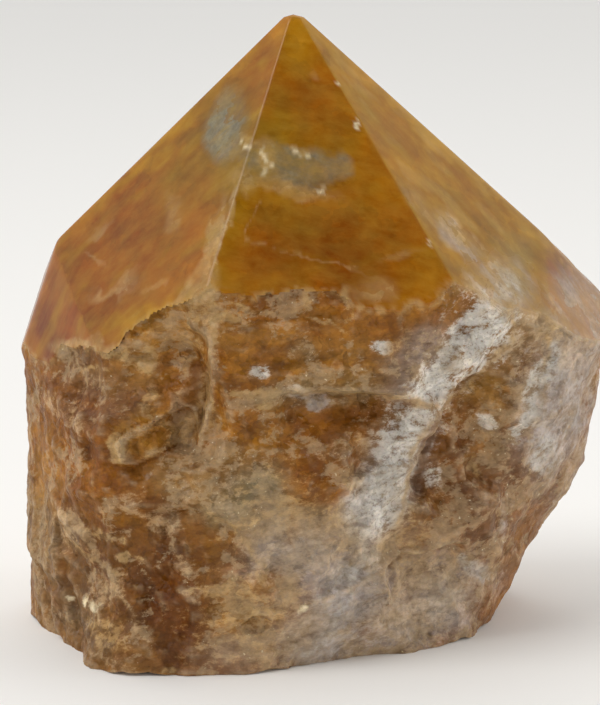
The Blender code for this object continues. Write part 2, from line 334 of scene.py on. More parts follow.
@dataclass(frozen=True)
class Blocks:
    """Blocks left by cleavage: skewed cells, each with a flat face of its own height and tilt."""

    size: float
    height: float
    seed: int
    edge: float = 0.12  # width of the slope between two blocks
    shift: float = 0.25  # how far a block strays from its cell's middle

    def at(self, points: Array, normals: Array) -> Array:
        """Give the height of the nearest block's face, blended into the second nearest at the border.

        Nearness is the largest of the three distances along the cleavage normals, so that the
        borders are cleavage planes.

        Args:
            points: places, in millimetres.
            normals: the three cleavage normals.

        Returns:
            How far the surface stands out at each point.
        """
        place = points @ normals.T / self.size
        cell = np.floor(place).astype(np.int64)
        nearest, second = np.full(place.shape[:-1], 9.0), np.full(place.shape[:-1], 9.0)
        face, other = np.zeros(place.shape[:-1]), np.zeros(place.shape[:-1])
        for offset in np.ndindex(3, 3, 3):
            block = cell + np.array(offset) - 1
            shift = spread(scatter(*np.moveaxis(block, -1, 0), self.seed))
            lean = spread(scatter(*np.moveaxis(block, -1, 0), self.seed + 1))
            away = place - block - 0.5 - self.shift * shift
            reach = np.abs(away).max(axis=-1)
            level = shift.sum(axis=-1) / 2 + (lean * away).sum(axis=-1)
            nearer = reach < nearest
            other = np.where(nearer, face, np.where(reach < second, level, other))
            second = np.where(nearer, nearest, np.minimum(reach, second))
            face = np.where(nearer, level, face)
            nearest = np.minimum(reach, nearest)
        share = 0.5 + 0.5 * smooth_step(0.0, self.edge, second - nearest)
        return self.height * (face * share + other * (1 - share))


@dataclass(frozen=True)
class Scoops:
    """Shell-shaped scars of broken flakes, which meet along sharp crests: width, depth and seed."""

    size: float
    depth: float
    seed: int
    stride: float = 3.7  # how far apart the patterns of neighbouring seeds are cut, in bowls
    shift: float = 0.45  # how far a bowl strays from its cell's middle
    tilt: float = 0.5
    level: float = 0.2  # how far its bottom strays up or down
    floor: float = 0.1  # the bottom that leaves the wall where it is

    def at(self, points: Array, normals: Array) -> Array:
        """Give the lowest of the bowls round each point, each with a place, level and tilt of its own.

        Args:
            points: places, in millimetres.
            normals: the three cleavage normals, which scars do not follow.

        Returns:
            How far the surface stands out at each point.
        """
        place = points / self.size + self.seed * self.stride
        cell = np.floor(place).astype(np.int64)
        lowest = np.full(place.shape[:-1], 9.0)
        for offset in np.ndindex(3, 3, 3):
            bowl = cell + np.array(offset) - 1
            shift = spread(scatter(*np.moveaxis(bowl, -1, 0), self.seed))
            lean = spread(scatter(*np.moveaxis(bowl, -1, 0), self.seed + 1))
            away = place - bowl - 0.5 - self.shift * shift
            slope = (self.tilt * lean * away).sum(axis=-1)
            bottom = self.level * shift.sum(axis=-1)
            lowest = np.minimum(lowest, (away * away).sum(axis=-1) + slope + bottom)
        return self.depth * (lowest - self.floor)


def to_line(across: Array, up: Array, line: Line) -> Array:
    """Measure how far each place, seen from the front, is from the nearest stretch of a line.

    The nearest point of a stretch is where the place falls on it at a right angle, or its end.

    Args:
        across: the places' x, in millimetres.
        up: their z.
        line: the line's corners, as x and z.

    Returns:
        The distances.
    """
    nearest = np.full(across.shape, 1e3)
    for (x0, z0), (x1, z1) in zip(line[:-1], line[1:]):
        run, rise = x1 - x0, z1 - z0
        place = np.clip(((across - x0) * run + (up - z0) * rise) / (run**2 + rise**2), 0.0, 1.0)
        nearest = np.minimum(nearest, np.hypot(across - x0 - place * run, up - z0 - place * rise))
    return nearest


@dataclass(frozen=True)
class Hollow:
    """A hollow broken into the front, or a block left proud where its depth is below zero.

    It has a place, a half size, a tilt and a depth, and it deepens to the right by its lean and
    upwards by its climb. Its rim runs between two shares of its half size.
    """

    x: float
    z: float
    half_width: float
    half_height: float
    tilt: float
    depth: float
    lean: float = 0.0
    climb: float = 0.0
    squareness: float = 4.0
    rim: Pair = (1.08, 0.82)
    ragged: Pair = (0.8, 3.5)

    def at(self, points: Array, seed: int) -> Array:
        """Give the hollow's depth: a rounded box, found by a power of its two shares, with a ragged rim.

        Args:
            points: places, in millimetres.
            seed: which ragged rim.

        Returns:
            How deep it cuts at each point.
        """
        turn = np.radians(self.tilt)
        stray, length = self.ragged
        across = points[..., 0] - self.x + stray * noise(points, length, seed)
        up = points[..., 2] - self.z + stray * noise(points, length, seed + UP_SEED)
        along = (across * np.cos(turn) + up * np.sin(turn)) / self.half_width
        over = (up * np.cos(turn) - across * np.sin(turn)) / self.half_height
        from_middle = np.abs(along) ** self.squareness + np.abs(over) ** self.squareness
        cut = smooth_step(*self.rim, from_middle ** (1 / self.squareness))
        slope = 1 + self.lean * np.clip(along, -1, 1) + self.climb * np.clip(over, -1, 1)
        return self.depth * slope * cut


@dataclass(frozen=True)
class Rib:
    """A low ridge along a line seen from the front: its line, half width and height."""

    line: Line
    half_width: float
    height: float
    foot: Pair = (1.2, 0.5)  # where its slope starts and ends, in half widths
    ragged: Pair = (0.9, 3.5)  # how far the line strays, and over what length
    seed: int = 440

    def at(self, points: Array) -> Array:
        """Give the ridge's height, from the distance to its line, with a ragged foot.

        Args:
            points: places, in millimetres.

        Returns:
            How high it stands at each point.
        """
        stray, length = self.ragged
        across = points[..., 0] + stray * noise(points, length, self.seed)
        up = points[..., 2] + stray * noise(points, length, self.seed + 1)
        return self.height * smooth_step(*self.foot, to_line(across, up, self.line) / self.half_width)


@dataclass(frozen=True)
class Mark:
    """One stain seen on the front: its colour, place, half size, strength, softness and tilt."""

    stain: Stain
    x: float
    z: float
    half_width: float
    half_height: float
    strength: float
    softness: float = 1.0
    tilt: float = 0.0
    soft_rim: float = 0.6  # how far inside and outside the ellipse a rim of softness 1 reaches
    widest_rim: float = 0.95

    def share(self, across: Array, up: Array, feather: float = 0.0) -> Array:
        """Give how strongly the stain shows: full inside its ellipse, and fading out round its rim.

        Args:
            across: the places' x, in millimetres.
            up: their z.
            feather: how much softer than its own the rim is.

        Returns:
            The stain's share at each place.
        """
        turn = np.radians(self.tilt)
        along = ((across - self.x) * np.cos(turn) + (up - self.z) * np.sin(turn)) / self.half_width
        over = ((up - self.z) * np.cos(turn) - (across - self.x) * np.sin(turn)) / self.half_height
        rim = min(self.soft_rim * self.softness + feather, self.widest_rim)
        return self.strength * smooth_step(1 + rim, 1 - rim, np.hypot(along, over))


@dataclass(frozen=True)
class Vein:
    """A line through the stone seen from the front, such as a healed crack or a trail of crust."""

    stain: Stain
    line: Line
    half_width: float
    strength: float
    rim: Pair = (1.9, 0.3)  # where it starts and where it is full, in half widths

    def share(self, across: Array, up: Array) -> Array:
        """Give how strongly the vein shows, from the distance to its line."""
        return self.strength * smooth_step(*self.rim, to_line(across, up, self.line) / self.half_width)


# broad tones of the broken front, under its smaller stains
GROUNDS = (
    Mark(ORANGE, 0.0, 51.0, 18.0, 6.0, 0.6),
    Mark(KHAKI, 5.0, 46.0, 13.0, 4.0, 0.4),
    Mark(ORANGE, -16.0, 43.0, 4.5, 8.0, 0.6, 0.8, -16),
    Mark(SAGE, -29.0, 43.0, 7.0, 5.0, 0.35, 1.0, -10),
    Mark(ORANGE, -34.0, 32.0, 6.0, 9.0, 0.6, 1.0, 10),
    Mark(RUST, -23.0, 29.0, 7.0, 5.0, 0.6, 1.0, -30),
    Mark(SAGE, -8.0, 27.0, 10.0, 5.0, 0.6, 1.0, -8),
    Mark(ORANGE, 9.0, 36.5, 9.0, 3.6, 0.5, 0.9, -4),
    Mark(ORANGE, 3.0, 27.5, 4.5, 3.5, 0.7),
    Mark(LAVENDER, 4.0, 17.0, 12.0, 6.0, 0.75, 1.0, 14),
    Mark(LAVENDER, 17.0, 8.0, 14.0, 9.0, 0.75, 1.0, 8),
    Mark(LAVENDER, 39.0, 36.0, 6.0, 17.0, 0.65, 1.0, 4),
    Mark(TAN, 29.0, 40.0, 5.0, 10.0, 0.6, 1.0, -20),
    Mark(RUST, 22.5, 31.0, 4.0, 9.0, 0.6, 0.9, -22),
    Mark(MAUVE, 30.0, 22.0, 6.0, 9.0, 0.5, 1.0, -14),
    Mark(BROWN, -22.0, 17.0, 10.0, 6.0, 0.6, 1.0, 6),
    Mark(SAGE, -36.0, 12.0, 6.0, 9.0, 0.55, 1.0, 10),
    Mark(RUST, -16.5, 9.0, 4.0, 7.0, 1.0, 0.9, 14),
    Mark(TAN, -8.0, 8.0, 6.0, 6.0, 0.6),
    Mark(LAVENDER, 13.0, 27.0, 4.5, 9.0, 0.7, 1.0, -32),
    Mark(LAVENDER, 18.5, 45.0, 4.5, 6.0, 0.6, 1.0, -30),
    Mark(CREAM, -24.0, 4.0, 15.0, 3.6, 0.25, 1.0, 3),
    Mark(LAVENDER, 6.0, 4.0, 18.0, 4.0, 0.6, 1.0, 4),
    Mark(CREAM, 36.0, 50.0, 6.0, 6.0, 0.6, 1.0, -20),
    Mark(SAGE, 3.0, 41.5, 9.0, 2.0, 0.5),
    Mark(LAVENDER, -2.5, 20.0, 4.0, 5.0, 0.5, 1.0, 30),
)

# stains seen on the front, place by place
POLISHED_LEFT = (
    Mark(SLATE, -10.5, 78.5, 2.9, 4.8, 1.0, 0.5, -12),
    Mark(RUST, -8.5, 79.5, 0.9, 1.3, 0.5, 0.8),
    Mark(KHAKI, -9.0, 74.5, 2.2, 4.4, 0.7, 0.9, -20),
    Mark(KHAKI, -11.0, 78.0, 6.0, 7.5, 0.9, 1.0, -12),
    Mark(RUST, -11.0, 78.0, 5.0, 6.0, 0.35, 1.0, -12),
    Mark(RUST, -23.5, 62.0, 4.0, 3.8, 0.55, 0.9, 10),
    Mark(RUST, -20.0, 65.5, 2.5, 3.0, 0.45, 0.9),
    Mark(CREAM, -29.5, 62.5, 2.6, 0.5, 0.4, 1.0, 34),
    Mark(CREAM, -30.5, 58.5, 1.9, 0.3, 0.45, 1.0, -12),
    Mark(CREAM, -27.0, 55.0, 4.2, 0.5, 0.5, 1.0, 32),
    Mark(CREAM, -21.0, 57.0, 2.4, 0.5, 0.5, 0.7, 24),
    Mark(KHAKI, -17.5, 71.0, 4.0, 3.2, 0.6, 1.0, 30),
    Mark(KHAKI, -19.0, 65.5, 1.9, 3.2, 0.4),
    Mark(CREAM, -18.0, 66.0, 1.5, 2.1, 0.4),
    Mark(GOLD, -22.5, 54.0, 6.2, 2.1, 0.5, 1.0, 30),
    Mark(RUST, -35.5, 56.0, 2.2, 3.5, 0.35),
    Mark(ORANGE, -37.5, 47.0, 2.5, 4.4, 0.7, 1.0, 10),
    Mark(RUST, -38.5, 48.5, 1.5, 3.0, 0.6, 1.0, 15),
    Mark(KHAKI, -34.5, 45.0, 1.2, 2.1, 0.6, 1.0, 30),
    Mark(CREAM, -12.0, 63.5, 0.9, 5.0, 0.75, 0.8, -14),
    Mark(KHAKI, -9.5, 66.0, 2.0, 10.0, 0.6, 1.0, -14),
    Mark(RUST, -26.0, 53.0, 9.0, 3.5, 0.4, 1.0, 20),
    Mark(RUST, -38.0, 50.0, 3.0, 8.0, 0.4, 1.0, 5),
    Mark(GOLD, -19.0, 63.0, 6.0, 4.0, 0.4, 1.0, 30),
    Mark(CREAM, -13.0, 57.5, 1.4, 3.2, 0.7, 0.8, -30),
    Mark(ORANGE, -17.0, 55.5, 0.8, 1.8, 0.7, 0.6),
    Mark(CREAM, -13.0, 53.5, 2.2, 1.8, 0.6, 0.9),
)

POLISHED_FRONT = (
    Mark(GOLD, 0.0, 92.5, 2.5, 2.1, 0.8),
    Mark(AMBER, 0.5, 83.5, 5.0, 5.9, 0.4),
    Mark(ORANGE, 1.0, 89.0, 3.5, 5.0, 0.65),
    Mark(RUST, 1.5, 82.0, 1.2, 5.0, 0.4, 1.0, -4),
    Mark(CREAM, 3.5, 86.5, 0.8, 0.7, 0.35, 0.8),
    Mark(KHAKI, -3.0, 78.5, 1.5, 3.2, 0.6, 0.9, -10),
    Mark(KHAKI, -2.0, 75.0, 9.0, 5.0, 0.75, 1.0, -10),
    Mark(SLATE, -0.2, 74.0, 7.6, 2.9, 1.0, 0.5, -10),
    Mark(SLATE, 6.5, 73.5, 2.2, 2.4, 1.0, 0.6, -40),
    Mark(CREAM, -4.0, 74.8, 1.6, 2.8, 0.9, 0.9),
    Mark(CREAM, 1.0, 76.5, 1.7, 0.6, 0.75, 0.7, -24),
    Mark(CREAM, 0.5, 70.9, 4.2, 0.5, 0.65, 0.7, -8),
    Mark(CREAM, -6.4, 77.6, 1.6, 0.5, 0.6, 0.7, -8),
    Mark(BROWN, 1.5, 71.5, 4.0, 1.2, 0.5, 0.9, -6),
    Mark(CREAM, -1.0, 70.3, 7.5, 0.9, 0.6, 0.8, -12),
    Mark(CREAM, -7.0, 71.5, 1.9, 1.8, 0.5, 0.9),
    Mark(GOLD, -9.0, 66.0, 2.2, 1.8, 0.5, 0.9),
    Mark(AMBER, -6.5, 60.5, 4.3, 3.2, 0.8, 0.9),
    Mark(RUST, -5.5, 59.0, 2.2, 2.1, 0.5),
    Mark(KHAKI, -1.0, 66.5, 6.2, 1.5, 0.45, 0.9, -18),
    Mark(AMBER, 5.0, 68.0, 4.6, 2.7, 0.5),
    Mark(RUST, 5.0, 60.5, 9.0, 3.4, 0.65, 1.0, -20),
    Mark(RUST, 9.5, 65.0, 4.6, 3.0, 0.3),
    Mark(GOLD, 19.5, 59.5, 3.7, 2.1, 0.6, 1.0, -10),
    Mark(CREAM, 12.0, 57.0, 2.8, 1.3, 0.55, 0.9, -6),
    Mark(CREAM, 15.5, 61.0, 2.8, 0.6, 0.35, 1.0, 12),
    Mark(GOLD, -7.5, 57.5, 4.6, 1.2, 0.4),
)

POLISHED_RIGHT = (
    Mark(TAN, 10.0, 78.5, 1.2, 4.4, 0.4, 1.0, -40),
    Mark(ORANGE, 12.0, 84.5, 3.7, 1.2, 0.5, 1.0, -42),
    Mark(ORANGE, 26.5, 69.0, 9.3, 1.5, 0.6, 1.0, -38),
    Mark(ORANGE, 15.0, 78.5, 2.5, 2.4, 0.5, 1.0, -40),
    Mark(CREAM, 24.5, 63.5, 0.9, 3.5, 0.7, 0.8, 42),
    Mark(CREAM, 28.0, 61.0, 0.8, 3.2, 0.45, 0.8, 45),
    Mark(CREAM, 18.5, 68.5, 1.2, 3.0, 0.4, 1.0, 40),
    Mark(TAN, 21.5, 61.5, 2.5, 1.8, 0.5),
    Mark(RUST, 23.0, 64.0, 1.5, 0.9, 0.3),
    Mark(SAGE, 34.0, 59.5, 2.8, 2.4, 0.45, 1.0, -30),
    Mark(CREAM, 31.0, 58.5, 1.5, 1.2, 0.4),
    Mark(CREAM, 31.0, 55.5, 0.8, 1.2, 0.4, 0.9, 30),
    Mark(KHAKI, 34.0, 55.0, 3.1, 2.1, 0.5, 1.0, -30),
    Mark(RUST, 41.0, 56.0, 1.4, 3.8, 0.8, 0.7, 40),
    Mark(RUST, 42.5, 53.5, 1.2, 2.4, 0.6, 0.8, 40),
)

UPPER_ROUGH = (
    Mark(CREAM, -14.5, 50.5, 1.4, 5.9, 0.55, 0.8, -10),
    Mark(TAN, -10.0, 49.0, 3.7, 3.2, 0.5, 0.9),
    Mark(ORANGE, -9.0, 45.0, 3.4, 2.7, 0.55, 0.9),
    Mark(CREAM, -10.5, 53.0, 2.8, 0.7, 0.7, 0.7, -6),
    Mark(CREAM, -6.0, 54.5, 3.7, 0.6, 0.55, 0.7, -8),
    Mark(KHAKI, 0.0, 54.0, 3.7, 0.6, 0.8, 0.7, 4),
    Mark(CREAM, 2.5, 55.5, 0.8, 1.5, 0.8, 0.7, -8),
    Mark(CREAM, 8.0, 55.5, 0.8, 1.8, 0.6, 0.7),
    Mark(RUST, -6.0, 51.0, 1.9, 2.7, 0.4, 0.9, 30),
    Mark(AMBER, 0.5, 52.0, 3.4, 1.8, 0.5, 0.9),
    Mark(ORANGE, 5.0, 51.0, 4.6, 2.7, 0.5),
    Mark(CREAM, 4.5, 52.0, 2.8, 0.4, 0.6, 0.7, -24),
    Mark(CREAM, 7.0, 52.5, 2.2, 0.4, 0.6, 0.7, 20),
    Mark(SAGE, 1.5, 48.5, 1.9, 1.5, 0.8, 0.7, -20),
    Mark(CHALK, -5.0, 45.5, 1.4, 1.3, 0.75, 0.5, 20),
    Mark(CHALK, 12.5, 48.5, 1.2, 1.2, 0.85, 0.5, 30),
    Mark(CREAM, 15.0, 49.0, 1.9, 1.5, 0.4, 0.8, 40),
    Mark(GOLD, 18.5, 55.0, 3.4, 3.2, 0.6),
    Mark(AMBER, 19.5, 53.0, 2.8, 1.8, 0.5),
    Mark(BROWN, 15.5, 44.5, 4.6, 2.4, 0.55, 1.0, 20),
    Mark(KHAKI, 6.5, 44.0, 6.2, 1.2, 0.5),
    Mark(GOLD, -0.5, 44.5, 1.9, 1.8, 0.6, 0.9),
    Mark(GOLD, -4.5, 44.5, 2.2, 1.5, 0.4, 0.9),
    Mark(CHALK, 1.0, 41.5, 2.8, 1.0, 0.8, 0.6, -2),
    Mark(KHAKI, 7.5, 42.0, 3.7, 0.7, 0.7, 0.7, -4),
    Mark(CREAM, -6.5, 42.0, 2.8, 0.7, 0.7, 0.7, 8),
)

LEFT_BAY = (
    Mark(SAGE, -32.5, 44.5, 3.4, 1.6, 0.4, 0.8, 30),
    Mark(GOLD, -35.5, 37.5, 1.5, 1.6, 0.7, 0.7),
    Mark(CREAM, -30.0, 43.0, 2.8, 0.6, 0.5, 0.8, 20),
    Mark(DUST, -29.5, 41.0, 2.8, 1.2, 0.45, 0.8, 10),
    Mark(RUST, -26.5, 44.5, 2.8, 1.5, 0.9, 0.6, -28),
    Mark(CREAM, -21.5, 45.5, 2.2, 1.5, 0.8, 0.6),
    Mark(AMBER, -22.0, 48.5, 2.2, 1.2, 0.6, 0.9),
    Mark(CREAM, -26.5, 47.0, 2.2, 0.8, 0.7, 0.6, 10),
    Mark(RUST, -17.0, 41.5, 2.2, 5.0, 0.75, 0.6, -16),
    Mark(ORANGE, -17.0, 47.5, 3.1, 1.3, 0.5, 0.8),
    Mark(MAUVE, -24.5, 39.5, 3.1, 1.3, 0.9, 0.5, 28),
    Mark(BROWN, -24.5, 41.0, 2.8, 0.6, 0.6, 0.6, 28),
    Mark(CREAM, -21.0, 40.5, 1.1, 2.1, 0.7, 0.7, -35),
    Mark(GOLD, -22.5, 35.5, 3.6, 2.6, 1.0, 0.6, 30),
    Mark(CREAM, -26.0, 33.0, 1.5, 2.2, 1.0, 0.4, -25),
    Mark(CREAM, -20.5, 32.5, 2.5, 0.7, 0.7, 0.6, 28),
    Mark(RUST, -19.0, 32.0, 1.9, 0.5, 0.6, 0.6, 28),
    Mark(CREAM, -18.5, 35.0, 1.2, 2.4, 0.7, 0.7, -38),
    Mark(DUST, -35.0, 36.5, 3.7, 1.5, 0.4),
    Mark(RUST, -31.0, 35.0, 2.2, 1.8, 0.6, 0.9, -20),
    Mark(MAUVE, -30.0, 36.0, 1.5, 1.2, 0.5, 0.9),
    Mark(ORANGE, -36.5, 28.0, 3.1, 5.0, 0.75),
    Mark(ORANGE, -34.5, 34.0, 2.8, 2.4, 0.5),
    Mark(RUST, -27.0, 30.0, 5.3, 2.1, 0.85, 0.9, -30),
    Mark(RUST, -32.5, 24.5, 2.5, 3.2, 0.9, 0.8, -10),
    Mark(ORANGE, -29.0, 26.5, 4.3, 3.0, 0.7),
    Mark(KHAKI, -40.5, 19.5, 1.1, 2.1, 0.5),
    Mark(CREAM, -15.0, 38.5, 2.2, 5.3, 0.75, 0.8, -20),
    Mark(SAGE, -13.0, 37.5, 1.1, 2.1, 0.4, 0.8),
)

CENTRE = (
    Mark(GOLD, -8.0, 35.0, 3.4, 3.0, 0.5),
    Mark(KHAKI, -7.0, 33.0, 3.4, 1.5, 0.5),
    Mark(TAN, -16.5, 29.0, 5.6, 3.0, 0.6, 1.0, -10),
    Mark(MAUVE, -14.5, 32.0, 3.1, 1.5, 0.4),
    Mark(SAGE, -7.5, 26.5, 4.6, 2.1, 0.9, 0.8, -8),
    Mark(SAGE, -5.0, 29.0, 4.0, 2.7, 0.9, 0.8, -20),
    Mark(MAUVE, -4.5, 25.0, 2.5, 1.5, 0.6),
    Mark(SAGE, -9.0, 23.5, 3.1, 1.8, 0.6, 0.9),
    Mark(RUST, -0.5, 37.5, 1.9, 1.8, 0.6, 0.8),
    # painted shade: rust darkens the hollow under the ledge
    Mark(RUST, 10.5, 37.0, 4.3, 1.9, 0.6, 0.6, -10),
    Mark(LAVENDER, 4.0, 40.0, 1.9, 1.2, 0.7, 0.7),
    Mark(DUST, 8.0, 33.5, 5.0, 1.6, 0.45),
    Mark(AMBER, 3.5, 29.5, 3.1, 3.2, 0.9, 0.7, -30),
    Mark(RUST, 5.5, 31.5, 4.6, 1.8, 0.5, 0.9, -20),
    Mark(CREAM, 9.0, 28.0, 1.9, 1.8, 0.8, 0.8),
    Mark(SAGE, 3.0, 24.5, 2.5, 1.2, 0.6, 0.9),
    Mark(AMBER, -1.0, 22.0, 0.9, 3.2, 0.9, 0.6, -6),
    Mark(TAN, 5.0, 21.5, 3.7, 2.1, 0.5),
    Mark(CREAM, -5.0, 19.5, 1.4, 3.5, 0.5, 0.9, 8),
    Mark(CREAM, 2.0, 17.0, 4.3, 1.5, 0.5, 0.9, 10),
    Mark(TAN, 13.5, 17.0, 4.6, 2.7, 0.5),
    Mark(GOLD, 19.0, 16.5, 2.2, 2.1, 0.5),
)

RIGHT = (
    Mark(BROWN, 25.0, 37.0, 1.9, 1.2, 0.85, 0.6),
    Mark(ORANGE, 21.5, 32.0, 2.0, 5.5, 0.6, 0.7, -16),
    Mark(CHALK, 29.5, 35.0, 1.9, 1.0, 0.85, 0.6, -10),
    Mark(TAN, 30.0, 39.0, 2.8, 3.2, 0.6),
    Mark(KHAKI, 28.0, 40.5, 3.4, 1.2, 0.5, 0.9, 40),
    Mark(MAUVE, 26.0, 23.5, 2.8, 5.0, 0.7, 0.9, 6),
    Mark(BROWN, 31.5, 27.0, 2.8, 5.4, 0.6),
    Mark(MAUVE, 30.0, 16.0, 2.5, 4.4, 0.6, 1.0, 6),
    Mark(CREAM, 27.0, 28.0, 0.6, 2.1, 0.6, 0.7, 8),
    Mark(LAVENDER, 38.5, 30.0, 2.8, 5.6, 0.65, 0.8, 16),
    Mark(CHALK, 40.0, 43.0, 1.2, 3.2, 0.8, 0.7, 12),
    Mark(CHALK, 36.0, 35.0, 2.2, 1.8, 0.85, 0.6, 40),
    Mark(CHALK, 33.5, 32.5, 0.6, 1.8, 0.6, 0.7, 12),
    Mark(LAVENDER, 43.0, 43.5, 3.4, 4.1, 0.65),
    Mark(CREAM, 41.5, 49.0, 3.1, 2.1, 0.7, 0.9),
    Mark(CHALK, 46.5, 45.0, 0.9, 1.8, 0.85, 0.6, 20),
    Mark(LAVENDER, 45.0, 34.5, 2.2, 4.4, 0.5),
    Mark(CREAM, 37.5, 48.0, 0.8, 2.1, 0.6, 0.7, 10),
    Mark(RUST, 35.5, 30.0, 2.5, 0.7, 0.5, 0.8, 20),
    Mark(ORANGE, 42.5, 24.0, 2.2, 1.8, 0.7, 0.9, 30),
    Mark(BROWN, 39.0, 20.5, 3.7, 2.7, 0.6, 1.0, 30),
    Mark(ORANGE, 38.0, 14.5, 1.9, 4.4, 0.5, 1.0, 20),
    Mark(MAUVE, 35.5, 17.0, 1.2, 1.5, 0.8, 0.8),
    Mark(LAVENDER, 32.5, 18.0, 0.9, 2.4, 0.5, 0.8, 4),
    Mark(BROWN, 32.5, 46.5, 2.5, 3.2, 0.45, 1.0, 10),
    Mark(CREAM, 32.5, 46.5, 0.8, 2.4, 0.5, 0.8, -30),
)

LOWER_LEFT = (
    Mark(BROWN, -21.0, 18.0, 8.0, 4.8, 0.85, 0.8, -4),
    Mark(RUST, -20.0, 20.5, 4.6, 1.2, 0.4),
    Mark(GOLD, -24.5, 22.5, 4.6, 1.2, 0.4, 1.0, 6),
    Mark(DUST, -19.0, 23.0, 3.1, 1.2, 0.75, 0.7, -30),
    Mark(DUST, -25.5, 25.0, 3.1, 1.5, 0.6, 0.8, 20),
    Mark(CREAM, -25.0, 19.0, 0.8, 0.6, 0.7, 0.6),
    Mark(CREAM, -25.5, 16.5, 0.9, 0.6, 0.8, 0.6),
    Mark(CREAM, -23.0, 16.5, 1.4, 0.3, 0.7, 0.6),
    Mark(DUST, -16.0, 16.0, 1.2, 1.0, 0.6, 0.8),
    Mark(CREAM, -23.0, 13.0, 0.5, 0.4, 0.7, 0.6),
    Mark(DUST, -34.0, 18.0, 2.5, 3.0, 0.6, 0.9, -30),
    Mark(CREAM, -30.0, 18.5, 4.0, 0.7, 0.6, 0.8, 10),
    Mark(CREAM, -30.0, 15.0, 3.4, 0.6, 0.7, 0.7, -16),
    Mark(ORANGE, -35.0, 13.5, 1.2, 1.5, 0.7, 0.8),
    Mark(ORANGE, -34.5, 11.5, 3.7, 0.9, 0.6, 0.9, -6),
    Mark(RUST, -30.0, 13.0, 1.9, 0.9, 0.5, 0.9),
    Mark(ORANGE, -36.5, 7.5, 1.9, 1.5, 0.6, 0.9, -10),
    Mark(RUST, -32.0, 9.5, 3.1, 0.6, 0.6, 0.8, -6),
    Mark(SAGE, -33.0, 6.0, 2.8, 1.8, 0.9, 0.8),
    Mark(DUST, -28.0, 11.0, 1.5, 3.2, 0.6, 0.9, -30),
    Mark(CREAM, -28.0, 5.5, 2.5, 1.8, 0.6, 0.9, -10),
    Mark(DUST, -22.5, 7.5, 1.5, 1.5, 0.4, 0.8),
    Mark(BROWN, -24.0, 9.5, 4.6, 1.8, 0.4),
    Mark(RUST, -18.5, 10.0, 4.0, 1.5, 0.85, 0.8, 14),
    Mark(RUST, -18.0, 7.0, 1.4, 2.7, 0.9, 0.7, -16),
    Mark(RUST, -16.5, 3.0, 1.4, 1.0, 0.9, 0.7),
    Mark(ORANGE, -13.0, 8.5, 3.4, 2.7, 0.75, 0.8, 20),
    Mark(CREAM, -10.5, 13.0, 2.2, 1.0, 0.75, 0.6, 10),
    Mark(BROWN, -9.5, 17.5, 2.5, 1.5, 0.5),
    Mark(ORANGE, -16.5, 2.0, 2.8, 1.0, 0.6, 0.9),
    Mark(CREAM, -18.5, 1.0, 1.2, 0.6, 0.8, 0.7),
    Mark(DUST, -27.5, 2.0, 4.6, 0.9, 0.4, 1.0, -20),
    Mark(KHAKI, -39.5, 2.5, 0.8, 2.4, 0.6),
    Mark(MAUVE, -11.5, 1.0, 4.6, 0.9, 0.6, 0.9),
)

BOTTOM_MIDDLE = (
    Mark(ORANGE, -5.0, 12.5, 2.5, 2.4, 0.8, 0.9),
    Mark(GOLD, -3.0, 14.0, 2.2, 1.8, 0.8, 0.9),
    Mark(CREAM, -0.5, 13.0, 1.2, 2.1, 0.7, 0.9),
    Mark(BROWN, 1.5, 12.5, 1.5, 1.8, 0.6, 0.9),
    Mark(CREAM, -6.5, 10.5, 2.2, 2.1, 0.6, 0.9),
    Mark(BROWN, -5.0, 6.0, 1.4, 0.9, 0.9, 0.6),
    Mark(TAN, -4.5, 3.0, 4.6, 1.8, 0.6),
    Mark(CREAM, -1.0, 8.0, 0.9, 1.8, 0.6, 0.8, 20),
    Mark(LAVENDER, 7.5, 10.5, 4.4, 3.1, 1.0, 0.6, 55),
    Mark(SAGE, 8.5, 14.5, 3.7, 1.5, 0.8, 0.8, 20),
    Mark(LAVENDER, 3.5, 3.5, 4.0, 2.4, 1.0, 0.6, 50),
    Mark(CHALK, 11.0, 17.0, 1.4, 2.4, 0.7, 0.7, 34),
    Mark(MAUVE, 11.5, 11.5, 1.5, 1.5, 0.5, 0.8),
    Mark(MAUVE, 18.0, 11.0, 5.0, 2.4, 1.0, 0.7, 10),
    Mark(MAUVE, 10.5, 5.0, 3.4, 1.8, 0.9, 0.8, 14),
    Mark(TAN, 15.0, 5.0, 4.6, 2.7, 0.7),
    Mark(CHALK, 23.0, 8.0, 2.2, 1.5, 0.85, 0.6, 10),
    Mark(CHALK, 27.5, 11.5, 0.9, 3.5, 0.8, 0.6, 36),
    Mark(CHALK, 22.0, 6.0, 1.2, 0.9, 0.7, 0.7),
    Mark(LAVENDER, 29.0, 10.5, 1.2, 2.1, 0.6, 0.9, 30),
    Mark(ORANGE, 28.5, 5.5, 1.9, 4.1, 0.8, 0.9, 30),
    Mark(CREAM, 19.5, 3.0, 3.7, 1.2, 0.5, 0.9, 6),
    Mark(MAUVE, 1.0, 0.5, 6.2, 0.7, 0.6, 0.9, 4),
    Mark(AMBER, 24.5, 16.0, 1.2, 2.4, 0.6, 0.9),
)
